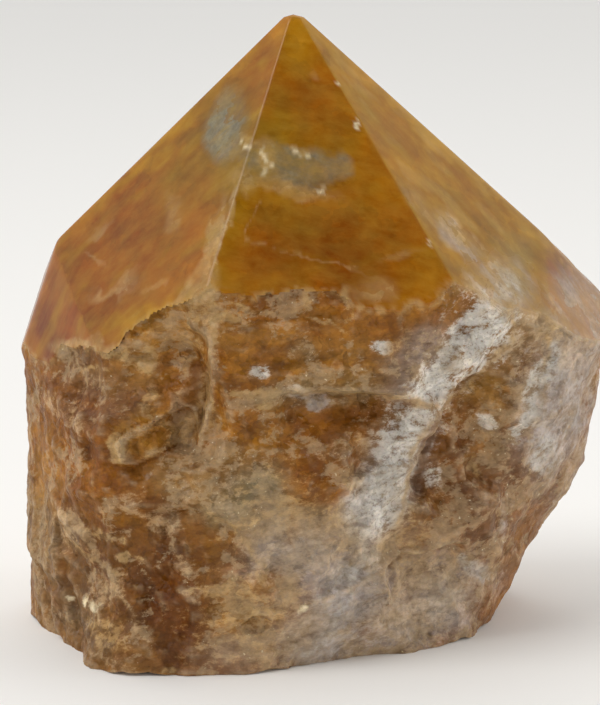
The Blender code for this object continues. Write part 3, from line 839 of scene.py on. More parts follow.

# wide or thin washes, laid over the stains of each place; those of glow are painted light let through
WASHES = (
    Mark(CREAM, 4.5, 20.0, 8.0, 4.5, 0.55, 1.0, 10),
    Mark(CREAM, -3.0, 24.0, 6.0, 6.0, 0.4),
    Mark(LAVENDER, 6.5, 8.0, 5.0, 8.5, 1.0, 0.9, -40),
    Mark(LAVENDER, 19.0, 6.5, 9.0, 5.0, 0.65, 1.0, 10),
    Mark(LAVENDER, 44.5, 48.0, 4.5, 8.0, 0.8),
    Mark(LAVENDER, 12.5, 27.0, 3.4, 7.0, 0.6, 1.0, -20),
    Mark(LAVENDER, 0.0, 18.0, 6.0, 4.0, 0.4),
    Mark(CREAM, 20.0, 9.0, 8.0, 6.0, 0.4, 1.0, 10),
    Mark(MAUVE, 31.0, 24.0, 5.0, 9.0, 0.5, 1.0, -14),
    Mark(BROWN, 34.5, 43.5, 3.0, 3.5, 0.8, 1.0, -20),
    Mark(LAVENDER, 42.0, 40.0, 6.0, 14.0, 0.5),
    Mark(LAVENDER, 39.0, 39.0, 1.6, 9.0, 0.6, 0.8, -4),
    Mark(CHALK, 36.5, 41.5, 0.9, 3.4, 0.85, 0.6, -24),
    Mark(CHALK, 38.5, 28.5, 1.6, 3.6, 0.6, 0.6, -10),
    Mark(CHALK, 21.0, 27.5, 1.6, 1.6, 0.6, 0.7),
    Mark(LAVENDER, 24.0, 63.0, 1.0, 3.6, 0.5, 0.9, 40),
    Mark(LAVENDER, 27.5, 59.5, 1.2, 2.6, 0.5, 0.9, 46),
    Mark(GLOW, -19.5, 53.0, 5.0, 1.0, 0.6, 1.0, 32),
    Mark(ORANGE, -20.5, 47.0, 8.0, 4.5, 0.75, 1.0, 30),
    Mark(GLOW, -20.5, 48.5, 8.5, 3.6, 0.55, 1.0, 31),
    Mark(ORANGE, -8.0, 47.0, 6.0, 7.0, 0.4),
    Mark(GLOW, -4.0, 51.5, 9.0, 2.5, 0.3),
    Mark(RUST, -17.5, 10.0, 3.5, 5.5, 0.7, 1.0, 14),
    Mark(BROWN, -24.0, 16.0, 7.0, 6.0, 0.5),
    Mark(GLOW, -38.0, 24.0, 3.0, 9.0, 0.35),
    Mark(LAVENDER, 43.5, 51.5, 4.0, 4.0, 0.5),
    Mark(CREAM, -15.5, 55.2, 2.2, 0.9, 0.7, 0.7, 48),
    Mark(CREAM, -30.5, 47.2, 4.2, 0.6, 0.6, 0.7, 8),
    Mark(CREAM, 42.0, 48.0, 5.0, 5.0, 0.4),
    Mark(CREAM, -5.0, 8.0, 9.0, 6.0, 0.4),
    Mark(CREAM, 15.0, 20.0, 6.0, 6.0, 0.45),
    Mark(ORANGE, 0.0, 50.0, 14.0, 5.0, 0.4),
    Mark(RUST, -31.0, 40.0, 7.0, 7.0, 0.8),
    Mark(BROWN, -28.0, 5.0, 10.0, 5.0, 0.9),
    Mark(RUST, -16.5, 7.0, 3.5, 7.0, 0.95, 1.0, 10),
    Mark(ORANGE, -30.0, 24.0, 7.0, 9.0, 0.4),
    Mark(BROWN, -22.0, 17.0, 9.0, 5.0, 0.5, 1.0, 6),
    Mark(BROWN, -31.0, 16.0, 7.5, 6.0, 0.6),
    Mark(RUST, -36.0, 38.5, 5.0, 4.0, 0.45),
    Mark(GLOW, -22.5, 35.2, 3.4, 2.4, 0.6, 0.6, 30),
)

# light let through along the edges of the point
EDGE_GLOW = (
    Mark(GLOW, 22.5, 75.6, 22.0, 1.1, 0.9, 1.0, -41.5),
    Mark(GLOW, 0.5, 91.0, 3.0, 4.0, 0.45),
    Mark(GLOW, -20.0, 76.0, 17.0, 0.9, 0.5, 1.0, 44.5),
)

# painted glints of chips that flash
SPARKLES = (
    Mark(GLINT, -4.4, 72.9, 0.7, 0.6, 0.9, 0.9, 20),
    Mark(GLINT, -3.9, 75.2, 0.5, 0.9, 1.0, 0.9, 10),
    Mark(GLINT, -2.9, 74.2, 0.6, 0.4, 0.9, 0.9),
    Mark(GLINT, -4.7, 76.6, 0.4, 0.5, 0.9, 0.9),
    Mark(GLINT, 0.8, 76.3, 0.9, 0.35, 0.9, 0.9, -24),
    Mark(GLINT, 2.2, 75.8, 0.5, 0.3, 0.9, 0.9, -24),
    Mark(GLINT, -7.4, 76.8, 0.8, 0.25, 0.9, 0.9, -10),
    Mark(GLINT, 4.4, 70.4, 0.5, 0.5, 0.9, 0.6),
    Mark(GLINT, 6.9, 84.6, 0.5, 0.4, 0.9, 0.6),
    Mark(GLINT, 9.6, 79.8, 0.5, 0.4, 0.9, 0.6),
    Mark(GLINT, 20.2, 63.1, 0.5, 0.5, 0.9, 0.6),
    Mark(GLINT, 15.4, 37.5, 0.5, 0.5, 0.9, 0.6),
    Mark(GLINT, -34.0, 8.0, 0.8, 0.4, 1.0, 0.6),
    Mark(GLINT, -30.0, 8.4, 0.9, 0.6, 1.0, 0.6, 20),
    Mark(GLINT, 1.5, 9.5, 0.5, 0.8, 1.0, 0.6, -40),
)

# all of them in the order in which they are laid
MARKS = (
    POLISHED_LEFT + POLISHED_FRONT + POLISHED_RIGHT + UPPER_ROUGH + LEFT_BAY + CENTRE + RIGHT
    + LOWER_LEFT + BOTTOM_MIDDLE + WASHES + EDGE_GLOW + SPARKLES
)

# lines seen on the front: a trail of crust, a worn ledge, healed cracks and a worn edge in the polish
VEINS = (
    Vein(CHALK, ((30.4, 53.5), (27.7, 48.7)), 4.0, 0.85),
    Vein(CHALK, ((27.7, 48.7), (21.6, 42.8)), 3.2, 0.8),
    Vein(CHALK, ((21.6, 42.8), (17.6, 37.0)), 2.2, 0.6),
    Vein(CHALK, ((17.6, 37.0), (14.8, 28.9), (12.4, 23.0)), 3.4, 0.9),
    Vein(CREAM, ((-4.4, 41.0), (5.6, 42.2), (13.0, 41.0), (20.5, 39.0)), 0.6, 0.8),
    Vein(CREAM, ((-7.7, 64.5), (-5.0, 68.4)), 0.25, 0.35),
    Vein(
        CREAM, ((-7.7, 63.8), (-4.0, 62.8), (0.9, 61.7), (7.4, 59.9), (12.0, 58.0), (15.1, 56.3)),
        0.2, 0.3,
    ),
    Vein(CREAM, ((-9.0, 70.0), (-10.8, 64.2), (-11.5, 60.5), (-12.7, 56.8)), 0.3, 0.9),
    # worn crests of the broken front, left to right
    Vein(CREAM, ((-36.5, 45.0), (-31.5, 47.5), (-27.5, 46.5), (-22.0, 45.5)), 0.5, 0.5),
    Vein(CREAM, ((-11.8, 55.5), (-12.0, 47.0), (-13.0, 40.0), (-16.5, 34.0)), 0.5, 0.75),
    Vein(CREAM, ((-21.5, 38.3), (-17.8, 35.2)), 0.3, 0.6),
    Vein(DUST, ((-36.0, 21.5), (-31.5, 18.5), (-27.5, 13.5), (-24.0, 9.5)), 0.6, 0.65),
    Vein(DUST, ((-27.0, 24.5), (-21.5, 23.5), (-17.5, 20.5)), 0.5, 0.45),
    Vein(CREAM, ((-12.0, 26.0), (-8.5, 21.5), (-5.0, 17.0), (-3.8, 13.5)), 0.35, 0.65),
    Vein(CREAM, ((-17.0, 12.8), (-13.0, 14.5), (-9.6, 13.4), (-6.0, 15.5)), 0.4, 0.65),
    Vein(CHALK, ((8.5, 14.5), (9.0, 9.0), (4.5, 3.5), (1.5, 2.0)), 0.3, 0.5),
    Vein(CREAM, ((25.8, 40.0), (20.2, 36.5), (17.6, 31.0), (16.8, 26.0), (15.5, 20.5)), 0.4, 0.6),
    Vein(CREAM, ((32.5, 54.0), (33.5, 50.0), (32.0, 46.5), (28.5, 43.0), (26.2, 40.0)), 0.4, 0.7),
    Vein(CREAM, ((38.6, 54.0), (38.8, 49.0), (37.2, 42.0)), 0.35, 0.7),
    Vein(CHALK, ((39.8, 45.8), (38.6, 41.0), (36.0, 36.5), (34.0, 33.8)), 0.9, 0.8),
    # shaded breaks beside them
    Vein(RUST, ((-14.4, 44.5), (-15.2, 41.0), (-17.4, 37.0)), 0.7, 0.75),
    Vein(RUST, ((-24.0, 30.3), (-18.0, 32.4)), 0.3, 0.5),
    Vein(BROWN, ((21.6, 37.0), (19.6, 31.5), (18.9, 28.0)), 0.6, 0.75),
    Vein(BROWN, ((26.8, 31.5), (25.8, 26.5)), 0.25, 0.6),
)


@dataclass
class Skin:
    """The stone's surface on a grid of rows and columns: places, and what was found on the way."""

    points: Array  # rows, columns, and x, y and z in millimetres
    relief: Array  # how far the broken surface stands out of the blank
    polish: Array  # 1 on the polished faces, 0 where broken
    face: Array  # which polished face is nearest, counted in the order of the stone's lists


@dataclass
class Stone:
    """The lump's form: broken walls with their relief, cut by the polished faces and the sawn foot."""

    tip_height: float = 95.0
    tip_rounding: float = 1.1  # how much of the tip is worn off
    heart: Triple = (0.0, 0.0, 40.0)  # from which all of the skin can be seen
    far: float = 90.0  # no wall is followed further from it than this
    wall_rounding: float = 1.2
    edge_rounding: float = 0.15
    snap: float = 0.12  # dips shallower than this do not break through the polish
    polish_rim: float = 0.24  # and the polish is gone where they are twice as deep
    main_axis: Pair = (20.0, 40.0)  # facing and tip of calcite's own axis
    cleavage_to_axis: float = 44.6  # between the axis and each cleavage normal
    cleavage_spin: float = 88.0
    # facing and slope of the faces that meet at the tip
    point_faces: tuple[Pair, ...] = (
        (-120.0, 47.7), (-43.8, 56.4), (5.5, 60.1), (50.4, 51.3), (120.0, 45.1), (178.0, 52.4),
    )
    girdle_faces: tuple[Plane, ...] = (
        Plane(-56.1, 18.2, (-37.6, 2.0, 58.6)),
        Plane(58.8, 32.9, (40.6, 3.2, 59.0)),
        Plane(-150.0, 20.0, (-14.0, 27.0, 60.0)),
        Plane(-86.0, 19.0, (-39.7, 0.0, 50.5)),
    )
    # facing, reach at the foot and lean of the broken walls
    walls: tuple[Triple, ...] = (
        (-14.7, 33.6, 7.2), (5.0, 27.0, 3.4), (29.5, 22.2, -6.6), (55.0, 27.5, -15.5),
        (85.0, 30.3, -33.5), (92.0, 50.3, 1.2), (135.0, 36.5, -5.0), (180.0, 32.0, 4.0),
        (-135.0, 36.0, 3.0), (-92.0, 40.7, -3.8), (-60.0, 35.9, 0.0),
    )
    # the broken relief, as the solid has it
    swells: tuple[Swell, ...] = (Swell(19.0, 1.2, 21), Swell(8.5, 0.3, 22))
    blocks: tuple[Blocks, ...] = (Blocks(12.0, 0.75, 310),)
    scoops: tuple[Scoops, ...] = (Scoops(13.0, 2.4, 350), Scoops(5.0, 0.9, 360))
    steps: tuple[Steps, ...] = (
        Steps(0, 8.0, 0.7, 40), Steps(1, 9.0, 0.7, 50), Steps(2, 8.0, 0.5, 60),
        Steps(0, 3.2, 0.25, 70), Steps(2, 3.0, 0.2, 90),
    )
    # hollows and blocks of the broken front, whose ragged rims are seeded in this order
    hollows: tuple[Hollow, ...] = (
        Hollow(-17.3, 42.0, 4.6, 9.4, -10.0, 1.7, 1.0, 0.2),  # left hollow
        Hollow(-22.0, 39.0, 11.5, 9.5, 14.0, 1.5, 0.9),  # left bay
        Hollow(-19.5, 35.0, 5.2, 2.4, 33.0, 1.3, 0.4, 0.5),  # split step
        Hollow(8.0, 36.4, 10.5, 5.4, -3.0, 1.6, 0.2, 1.0),  # under the ledge
        Hollow(25.8, 32.0, 5.6, 10.5, -22.0, 2.2, -1.0, 0.2),  # behind the vein
        Hollow(-18.9, 9.0, 3.6, 6.4, 20.0, 0.7, 0.3, 0.7, 2.2, (1.2, 0.6)),  # low notch
        Hollow(-5.3, 7.2, 2.2, 1.6, 0.0, 0.8, 0.0, 0.6, 2.0),  # small pit
        Hollow(-18.0, 19.0, 10.0, 6.0, 4.0, 1.0, 0.0, 0.4),  # lower left
        Hollow(20.0, 12.0, 6.5, 4.0, 10.0, 1.2, 0.0, 0.5),  # lower right
        Hollow(-2.0, 55.0, 12.0, 2.8, 3.0, 0.5),  # front bench
        Hollow(-22.3, 34.4, 4.6, 2.5, 28.0, -1.1, -0.3, 0.3),  # split block
        Hollow(-24.0, 46.5, 13.0, 7.5, 31.0, 2.8, 0.1, 0.4, 2.6, (1.2, 0.6)),  # left bench
        Hollow(-38.5, 41.0, 4.5, 7.0, 10.0, -0.6, 0.0, 0.0, 2.6, (1.2, 0.6)),  # left swelling
    )
    # low ridges of the front: under the trail of crust, and right of the left hollow
    ribs: tuple[Rib, ...] = (
        Rib(((29.6, 53.8), (27.6, 47.7), (21.8, 40.5), (16.3, 33.0), (12.7, 24.4)), 3.0, 0.9),
        Rib(((-11.5, 55.0), (-12.0, 47.0), (-13.0, 40.0), (-16.5, 34.0), (-10.0, 25.0)), 1.8, 0.4),
    )
    hollow_seed: int = 400
    front_half: float = 6.0  # what is listed for the front fades out this near the middle
    side_share: float = 0.5  # how much of the broken relief the sides and the back have
    side_depth: Pair = (-4.0, -14.0)  # from where it rises to its full height
    # finer relief than the solid's, for the eye alone
    fine_blocks: tuple[Blocks, ...] = (Blocks(2.3, 0.12, 330),)
    fine_scoops: tuple[Scoops, ...] = (Scoops(2.2, 0.36, 370),)
    fine_steps: tuple[Steps, ...] = (Steps(0, 1.4, 0.08, 170, 0.2),)
    fine_swells: tuple[Swell, ...] = (Swell(2.6, 0.08, 25), Swell(1.1, 0.07, 29))
    # how the grid is laid: rows above the girdle, below it and under the foot, and columns in all
    girdle_height: float = 62.0
    first_row: float = 0.4  # below the tip
    top_rows: int = 52
    wall_rows: int = 176
    foot_shares: tuple[float, ...] = (0.94, 0.85, 0.7, 0.5, 0.28, 0.08)
    columns: int = 410
    front_spread: float = 75.0  # within this many degrees of straight ahead the columns
    front_density: float = 2.0  # lie this many times closer together
    polished: Planes = field(init=False)
    broken: Planes = field(init=False)
    cleavage: Array = field(init=False)

    def __post_init__(self) -> None:
        """Work out the planes and the cleavage normals once."""
        tip = (0.0, 0.0, self.tip_height + self.tip_rounding)
        faces = [Plane(facing, 90.0 - slope, tip) for facing, slope in self.point_faces]
        faces += [*self.girdle_faces, Plane(0.0, 90.0, (0.0, 0.0, self.tip_height))]
        self.polished = Planes.of(faces)
        feet = [(facing, lean, tuple(reach * outward(facing, 0.0))) for facing, reach, lean in self.walls]
        self.broken = Planes.of([Plane(*foot) for foot in feet])
        self.cleavage = self.cleavage_normals()

    def cleavage_normals(self) -> Array:
        """Give calcite's three cleavage normals, evenly spaced round its main axis.

        Returns:
            Unit vectors, one a row.
        """
        axis = outward(*self.main_axis)
        side = np.cross(axis, (0.0, 0.0, 1.0))
        side /= np.linalg.norm(side)
        up = np.cross(side, axis)
        apart = np.radians(self.cleavage_to_axis)
        turns = np.radians(self.cleavage_spin + 120.0 * np.arange(3))[:, None]
        return axis * np.cos(apart) + (side * np.cos(turns) + up * np.sin(turns)) * np.sin(apart)

    def relief(self, points: Array) -> Array:
        """Add up everything that stands out of the blank's walls or is cut into them.

        What is listed belongs to the front, and the broken relief is calmer behind.

        Args:
            points: places on the blank, in millimetres.

        Returns:
            How far the surface stands out at each point.
        """
        total = np.zeros(points.shape[:-1])
        for seed, hollow in enumerate(self.hollows, self.hollow_seed):
            total -= hollow.at(points, seed)
        for rib in self.ribs:
            total += rib.at(points)
        total *= smooth_step(self.front_half, -self.front_half, points[..., 1])
        for swell in self.swells + self.fine_swells:
            total += swell.at(points)
        calm = self.side_share + (1 - self.side_share) * smooth_step(*self.side_depth, points[..., 1])
        broad = self.blocks + self.scoops + self.steps
        for form in broad + self.fine_blocks + self.fine_steps + self.fine_scoops:
            total += calm * form.at(points, self.cleavage)
        return total

    def surface(self, directions: Array) -> Skin:
        """Find the skin in each direction from the heart.

        The blank's wall is moved out along its soft normal by the relief. Where that passes the
        polished faces the faces stand instead, and nothing goes below the foot.

        Args:
            directions: unit vectors, in rows and columns.

        Returns:
            The skin on that grid.
        """
        heart = np.array(self.heart)
        to_walls = np.minimum(self.broken.reach(directions, heart, self.wall_rounding), self.far)
        blank = heart + directions * to_walls[..., None]
        relief = self.relief(blank)
        rough = blank + self.broken.soft_normals(blank, self.wall_rounding) * relief[..., None]
        line = rough - heart
        distance = np.linalg.norm(line, axis=-1)
        over = distance - self.polished.reach(line / distance[..., None], heart, self.edge_rounding)
        to_faces = self.polished.reach(directions, heart, self.edge_rounding)
        points = np.where(over[..., None] > -self.snap, heart + directions * to_faces[..., None], rough)
        down = (heart[2] / np.maximum(heart[2] - points[..., 2], 1e-6))[..., None]
        points = np.where(points[..., 2:] < 0, heart + (points - heart) * down, points)
        face = (points @ self.polished.normals.T - self.polished.offsets).argmax(axis=-1)
        return Skin(points, relief, smooth_step(-self.polish_rim, 0.0, over), face)

    def facings(self) -> Array:
        """Lay out the columns, in radians: one on each ridge, and closer together in front.

        A ridge is where two neighbouring faces of the point meet, along the cross product of their
        normals, and a column on it keeps it straight and sharp.

        Returns:
            The facing of each column, rising.
        """
        count = len(self.point_faces)
        ridges = []
        for left in range(count):
            ridge = np.cross(self.polished.normals[left], self.polished.normals[(left + 1) % count])
            ridge *= -np.sign(ridge[2])
            ridges.append(np.degrees(np.arctan2(ridge[0], -ridge[1])))
        knots = np.sort(ridges)
        knots = np.append(knots, knots[0] + 360.0)
        middles = (knots[:-1] + knots[1:]) / 2
        weights = np.diff(knots) * np.where(np.abs(middles) < self.front_spread, self.front_density, 1.0)
        counts = np.round(self.columns * weights / weights.sum()).astype(int)
        runs = [
            np.linspace(start, end, number, endpoint=False)
            for start, end, number in zip(knots[:-1], knots[1:], counts)
        ]
        return np.radians(np.concatenate(runs))

    def directions(self) -> Array:
        """Aim at points spaced evenly down the blank's own side, from the tip to the foot's middle.

        Returns:
            Unit vectors from the heart, in rows and columns.
        """
        facing = self.facings()
        start = self.tip_height - self.first_row
        top = np.linspace(start, self.girdle_height, self.top_rows, endpoint=False)
        wall = np.linspace(self.girdle_height, 0.0, self.wall_rows)
        heights = np.concatenate([top, wall, np.zeros(len(self.foot_shares))])
        shares = np.concatenate([np.ones(len(top) + len(wall)), self.foot_shares])
        facing, height = np.meshgrid(facing, heights)
        radius = np.minimum(self.broken.radius(facing, height), self.polished.radius(facing, height))
        radius *= shares[:, None]
        aim = np.stack([radius * np.sin(facing), -radius * np.cos(facing), height], axis=-1) - self.heart
        return aim / np.linalg.norm(aim, axis=-1, keepdims=True)


@dataclass
class Coat:
    """What lies over the stone's body: its colour, how much of it shows, and how powdery it is."""

    colour: Array
    share: Array
    powder: Array

    @classmethod
    def bare(cls, body: Array) -> "Coat":
        """Start with nothing laid on."""
        return cls(body.copy(), np.zeros(body.shape[:-1]), np.zeros(body.shape[:-1]))

    def lay(self, stain: Stain, share: Array) -> None:
        """Lay a stain over: it hides what is under it by its share, and adds to what shows.

        Args:
            stain: which stain. Chalk is powdery.
            share: how much of it there is at each point.
        """
        total = share + self.share * (1 - share)
        weight = share / np.maximum(total, 1e-6)
        self.colour += (pigment(stain) - self.colour) * weight[..., None]
        self.powder += (float(stain is CHALK) - self.powder) * weight
        self.share = total


@dataclass(frozen=True)
class Drift:
    """A stain that drifts through the body in clouds.

    It has a share, a band of the noise in which it rises, and weights for the wide, middle and small
    lumps that add up to that noise. It drifts where the stone is broken, or else where it is polished.
    """

    stain: Stain
    share: float
    band: Pair
    weights: Triple
    polished: bool = False


@dataclass(frozen=True)
class Facet:
    """A polished face's own look: its body, the tilt and stretch of its grain, and its sheen.

    The sheen is what the face adds to its colours by reflection, and is taken off them.
    """

    body: Stain
    tilt: float
    stretch: float
    sheen: float
    clear: bool = False  # with few veils


@dataclass
class Staining:
    """The stone's colours: what lies in the body, the stains over it, and what the breaking left, with
    painted shade in the hollows.
    """

    grounds: tuple[Mark, ...] = GROUNDS
    marks: tuple[Mark, ...] = MARKS
    veins: tuple[Vein, ...] = VEINS
    # the faces that meet at the tip, those of the girdle, and the worn tip, in the stone's order
    facets: tuple[Facet, ...] = (
        Facet(ORANGE, 35.0, 2.2, 0.02),
        Facet(ORANGE, 38.0, 2.2, 0.033),
        Facet(AMBER, -12.0, 2.0, 0.018, True),
        Facet(TAN, -52.0, 2.2, 0.026),
        Facet(ORANGE, 50.0, 2.2, 0.03),
        Facet(GOLD, 5.0, 2.2, 0.02),
        Facet(GOLD, 68.0, 3.0, 0.052),
        Facet(ORANGE, -55.0, 2.5, 0.02),
        Facet(AMBER, 30.0, 2.2, 0.03),
        Facet(GOLD, 76.0, 3.0, 0.052),
        Facet(GOLD, 0.0, 1.0, 0.02, True),
    )
    facet_share: float = 0.9  # how far a polished face takes its own tone
    facet_darkest: float = 0.0012
    broken_body: Stain = HONEY
    broken_comb: Pair = (8.0, 1.9)  # tilt and stretch of the grain where broken
    # streaks along the grain of the facets: pale veils and darker bands
    veils: Layers = ((1.0, 3.2, 800), (0.35, 1.4, 810))
    veil_shares: Pair = (0.06, 0.2)  # in the clear facets, and in the others
    bands: Layers = ((1.0, 4.0, 820), (0.25, 1.2, 830))
    band_share: float = 0.18
    streak_rise: Pair = (0.1, 0.5)
    # size and seed of the lumps in which the body's colour drifts: wide, middle and small
    lumps: tuple[tuple[float, int], ...] = ((17.0, 600), (7.0, 610), (2.6, 620))
    drifts: tuple[Drift, ...] = (
        Drift(ORANGE, 0.45, (0.0, 0.5), (1.0, 0.0, 0.4)),
        Drift(GOLD, 0.3, (0.0, 0.5), (1.0, 0.0, 0.4), True),
        Drift(KHAKI, 0.15, (0.05, 0.5), (-1.0, 0.0, 0.4)),
        Drift(RUST, 0.4, (0.05, 0.5), (0.0, 1.0, 0.3)),
        Drift(TAN, 0.4, (0.1, 0.5), (0.0, -1.0, -0.6)),
    )
    # stains over the back, as drifts of their own: size and seed
    back_drifts: tuple[tuple[Stain, float, int], ...] = (
        (LAVENDER, 14.0, 630), (SAGE, 12.0, 640), (RUST, 9.0, 650),
        (CREAM, 8.0, 655), (CHALK, 11.0, 660),
    )
    back_share: float = 0.8
    back_rise: Pair = (0.15, 0.5)
    back_fray: float = 0.3
    back_depth: Pair = (0.0, 12.0)
    overlays: tuple[Stain, ...] = (CREAM, DUST, LAVENDER, CHALK, GLINT, SLATE)  # lie on the body
    soaked: float = 0.75  # how strongly the other stains colour the body
    feather: float = 0.9  # and how much softer they are at the rim
    clear: tuple[Stain, ...] = (AMBER, GOLD, ORANGE, RUST, BROWN)  # take dust away, and the others add it
    dust_more: float = 0.055
    dust_less: float = 0.13
    dust_feather: float = 0.3
    front_depth: Pair = (14.0, 5.0)  # the listed stains fade out between these
    # how far the rims of the stains stray, over what length, and the seed
    rag: Layers = ((1.5, 6.0, 700), (0.7, 2.2, 710), (0.35, 0.9, 720))
    # the crumbs of broken edges, and what the crests and the hollows take on, pale wear on the crests and
    # painted shade in the hollows: over how many neighbours they are judged, from what height in
    # millimetres, how much the crumbs fray them, and the stains
    crumbs: Layers = ((1.0, 0.9, 670), (0.6, 1.9, 671))
    crest_reach: int = 3
    crest_rise: Pair = (0.05, 0.4)
    crest_fray: float = 0.12
    crest_stains: tuple[tuple[Stain, float], ...] = ((CREAM, 0.35), (LAVENDER, 0.18))
    hollow_shade_rise: Pair = (0.05, 0.5)
    hollow_shade_fray: float = 0.08
    hollow_shade_stains: tuple[tuple[Stain, float], ...] = ((RUST, 0.3),)
    # the rims of the polished faces are chipped pale
    rim_reach: int = 2
    rim_rise: Pair = (-0.3, 0.3)
    rim_share: float = 0.5
    dusk: float = 1.06  # broken stone catches less light, so its colours are raised

    def mix(self, colour: Array, stain: Stain, share: Array) -> Array:
        """Blend a stain into the colour, by its share at each point."""
        return colour + (pigment(stain) - colour) * np.clip(share, 0.0, 1.0)[..., None]

    def front(self, points: Array) -> Array:
        """Give 1 on the front, fading to 0 where the listed stains stop."""
        return smooth_step(*self.front_depth, points[..., 1])

    def ragged(self, points: Array) -> tuple[Array, Array]:
        """Shift the places seen from the front by noise of three sizes, so that rims are ragged.

        Args:
            points: places, in millimetres.

        Returns:
            Their shifted x and z.
        """
        across, up = points[..., 0].copy(), points[..., 2].copy()
        for stray, size, seed in self.rag:
            across += stray * noise(points, size, seed)
            up += stray * noise(points, size, seed + 1)
        return across, up

    def body(self, skin: Skin) -> Array:
        """Colour the stone's body: each polished face has its own tone, and clouds drift through it all.

        Args:
            skin: the stone's surface.

        Returns:
            The colour at each point.
        """
        points, rough = skin.points, 1 - skin.polish
        broken = pigment(self.broken_body)
        polished = np.array([pigment(facet.body) for facet in self.facets])[skin.face]
        colour = broken + (polished - broken) * (self.facet_share * skin.polish)[..., None]
        lumps = [noise(points, size, seed) for size, seed in self.lumps]
        for drift in self.drifts:
            where = skin.polish if drift.polished else rough
            pattern = sum(weight * lump for weight, lump in zip(drift.weights, lumps))
            colour = self.mix(colour, drift.stain, drift.share * where * smooth_step(*drift.band, pattern))
        across, up = self.ragged(points)
        front = self.front(points)
        for ground in self.grounds:
            colour = self.mix(colour, ground.stain, front * rough * ground.share(across, up))
        for mark in self.marks:
            if mark.stain not in self.overlays:
                share = self.soaked * front * mark.share(across, up, self.feather)
                colour = self.mix(colour, mark.stain, share)
        return colour

    def grain(self, skin: Skin) -> Array:
        """Comb the places, each polished face its own way, for the fine streaks that the finish draws.

        Args:
            skin: the stone's surface.

        Returns:
            The combed places, in millimetres.
        """
        points = skin.points
        combs = np.stack([combed(points, facet.tilt, facet.stretch) for facet in self.facets])
        polished = np.take_along_axis(combs, skin.face[None, ..., None], axis=0)[0]
        return np.where(skin.polish[..., None] > 0.5, polished, combed(points, *self.broken_comb))

    def streaks(self, skin: Skin, grain: Array, colour: Array) -> Array:
        """Draw pale veils and darker bands along the grain of the polished faces.

        Each is noise of two sizes on the combed places. The sheen is taken off.

        Args:
            skin: the stone's surface.
            grain: its places, combed.
            colour: the body's colour.

        Returns:
            The streaked colour.
        """
        veil = smooth_step(*self.streak_rise, layered(grain, self.veils))
        band = smooth_step(*self.streak_rise, layered(grain, self.bands))
        clear = np.array([facet.clear for facet in self.facets])[skin.face]
        colour = self.mix(colour, CREAM, skin.polish * veil * np.where(clear, *self.veil_shares))
        colour = self.mix(colour, RUST, self.band_share * skin.polish * band)
        sheen = np.array([facet.sheen for facet in self.facets])[skin.face] * skin.polish
        return np.maximum(colour - sheen[..., None], self.facet_darkest)

    def coat(self, skin: Skin, body: Array) -> Coat:
        """Lay the stains: those listed for the front, and drifts of them over the back.

        Args:
            skin: the stone's surface.
            body: the colour under them.

        Returns:
            What lies over the body.
        """
        points = skin.points
        coat = Coat.bare(body)
        back = smooth_step(*self.back_depth, points[..., 1]) * (1 - skin.polish)
        small = noise(points, *self.lumps[-1])
        for stain, size, seed in self.back_drifts:
            drift = smooth_step(*self.back_rise, noise(points, size, seed) + self.back_fray * small)
            coat.lay(stain, self.back_share * back * drift)
        across, up = self.ragged(points)
        front = self.front(points)
        for seen in self.marks + self.veins:
            if isinstance(seen, Vein) or seen.stain in self.overlays:
                coat.lay(seen.stain, front * seen.share(across, up))
        return coat

    def dust(self, skin: Skin) -> Array:
        """Find where dust lies thicker than elsewhere: on the pale stains, and not on the clear ones.

        Args:
            skin: the stone's surface.

        Returns:
            How much is added at each point, below zero where dust is taken away.
        """
        across, up = self.ragged(skin.points)
        total = np.zeros(across.shape)
        for mark in self.grounds + self.marks:
            aim = -self.dust_less if mark.stain in self.clear else self.dust_more
            total += (aim - total) * np.clip(mark.share(across, up, self.dust_feather), 0.0, 1.0)
        return total * self.front(skin.points)

    def wear_and_shade(self, skin: Skin, colour: Array) -> Array:
        """Bruise the broken stone's proud edges pale, and paint shade into its hollows.

        An edge is proud where its relief is higher than the average round it, and a hollow where it is
        lower, and the crumbs are noise of two sizes that frays it.

        Args:
            skin: the stone's surface.
            colour: the colour before it was worn.

        Returns:
            The worn colour, with painted shade in the hollows.
        """
        rough = 1 - skin.polish
        high = skin.relief - blurred(skin.relief, self.crest_reach)
        crumb = layered(skin.points, self.crumbs)
        crests = rough * smooth_step(*self.crest_rise, high + self.crest_fray * crumb)
        # painted shade: the hollows are darkened with rust
        shaded_hollows = rough * smooth_step(*self.hollow_shade_rise, -high - self.hollow_shade_fray * crumb)
        for stains, where in ((self.crest_stains, crests), (self.hollow_shade_stains, shaded_hollows)):
            for stain, share in stains:
                colour = self.mix(colour, stain, share * where)
        near = blurred(skin.polish, self.rim_reach)
        chipped = 4 * near * (1 - near) * smooth_step(*self.rim_rise, crumb)
        colour = self.mix(colour, CREAM, self.rim_share * chipped)
        return colour * (1 + (self.dusk - 1) * rough)[..., None]


def blurred(grid: Array, reach: int) -> Array:
    """Average a grid over its neighbours, round the columns and along the rows.

    Args:
        grid: values in rows and columns, with the last column next to the first.
        reach: how many neighbours to take on each side.

    Returns:
        The averages.
    """
    shifts = range(-reach, reach + 1)
    round_about = sum(np.roll(grid, shift, axis=1) for shift in shifts) / len(shifts)
    padded = np.pad(round_about, ((reach, reach), (0, 0)), mode="edge")
    return sum(padded[reach + shift:reach + shift + grid.shape[0]] for shift in shifts) / len(shifts)


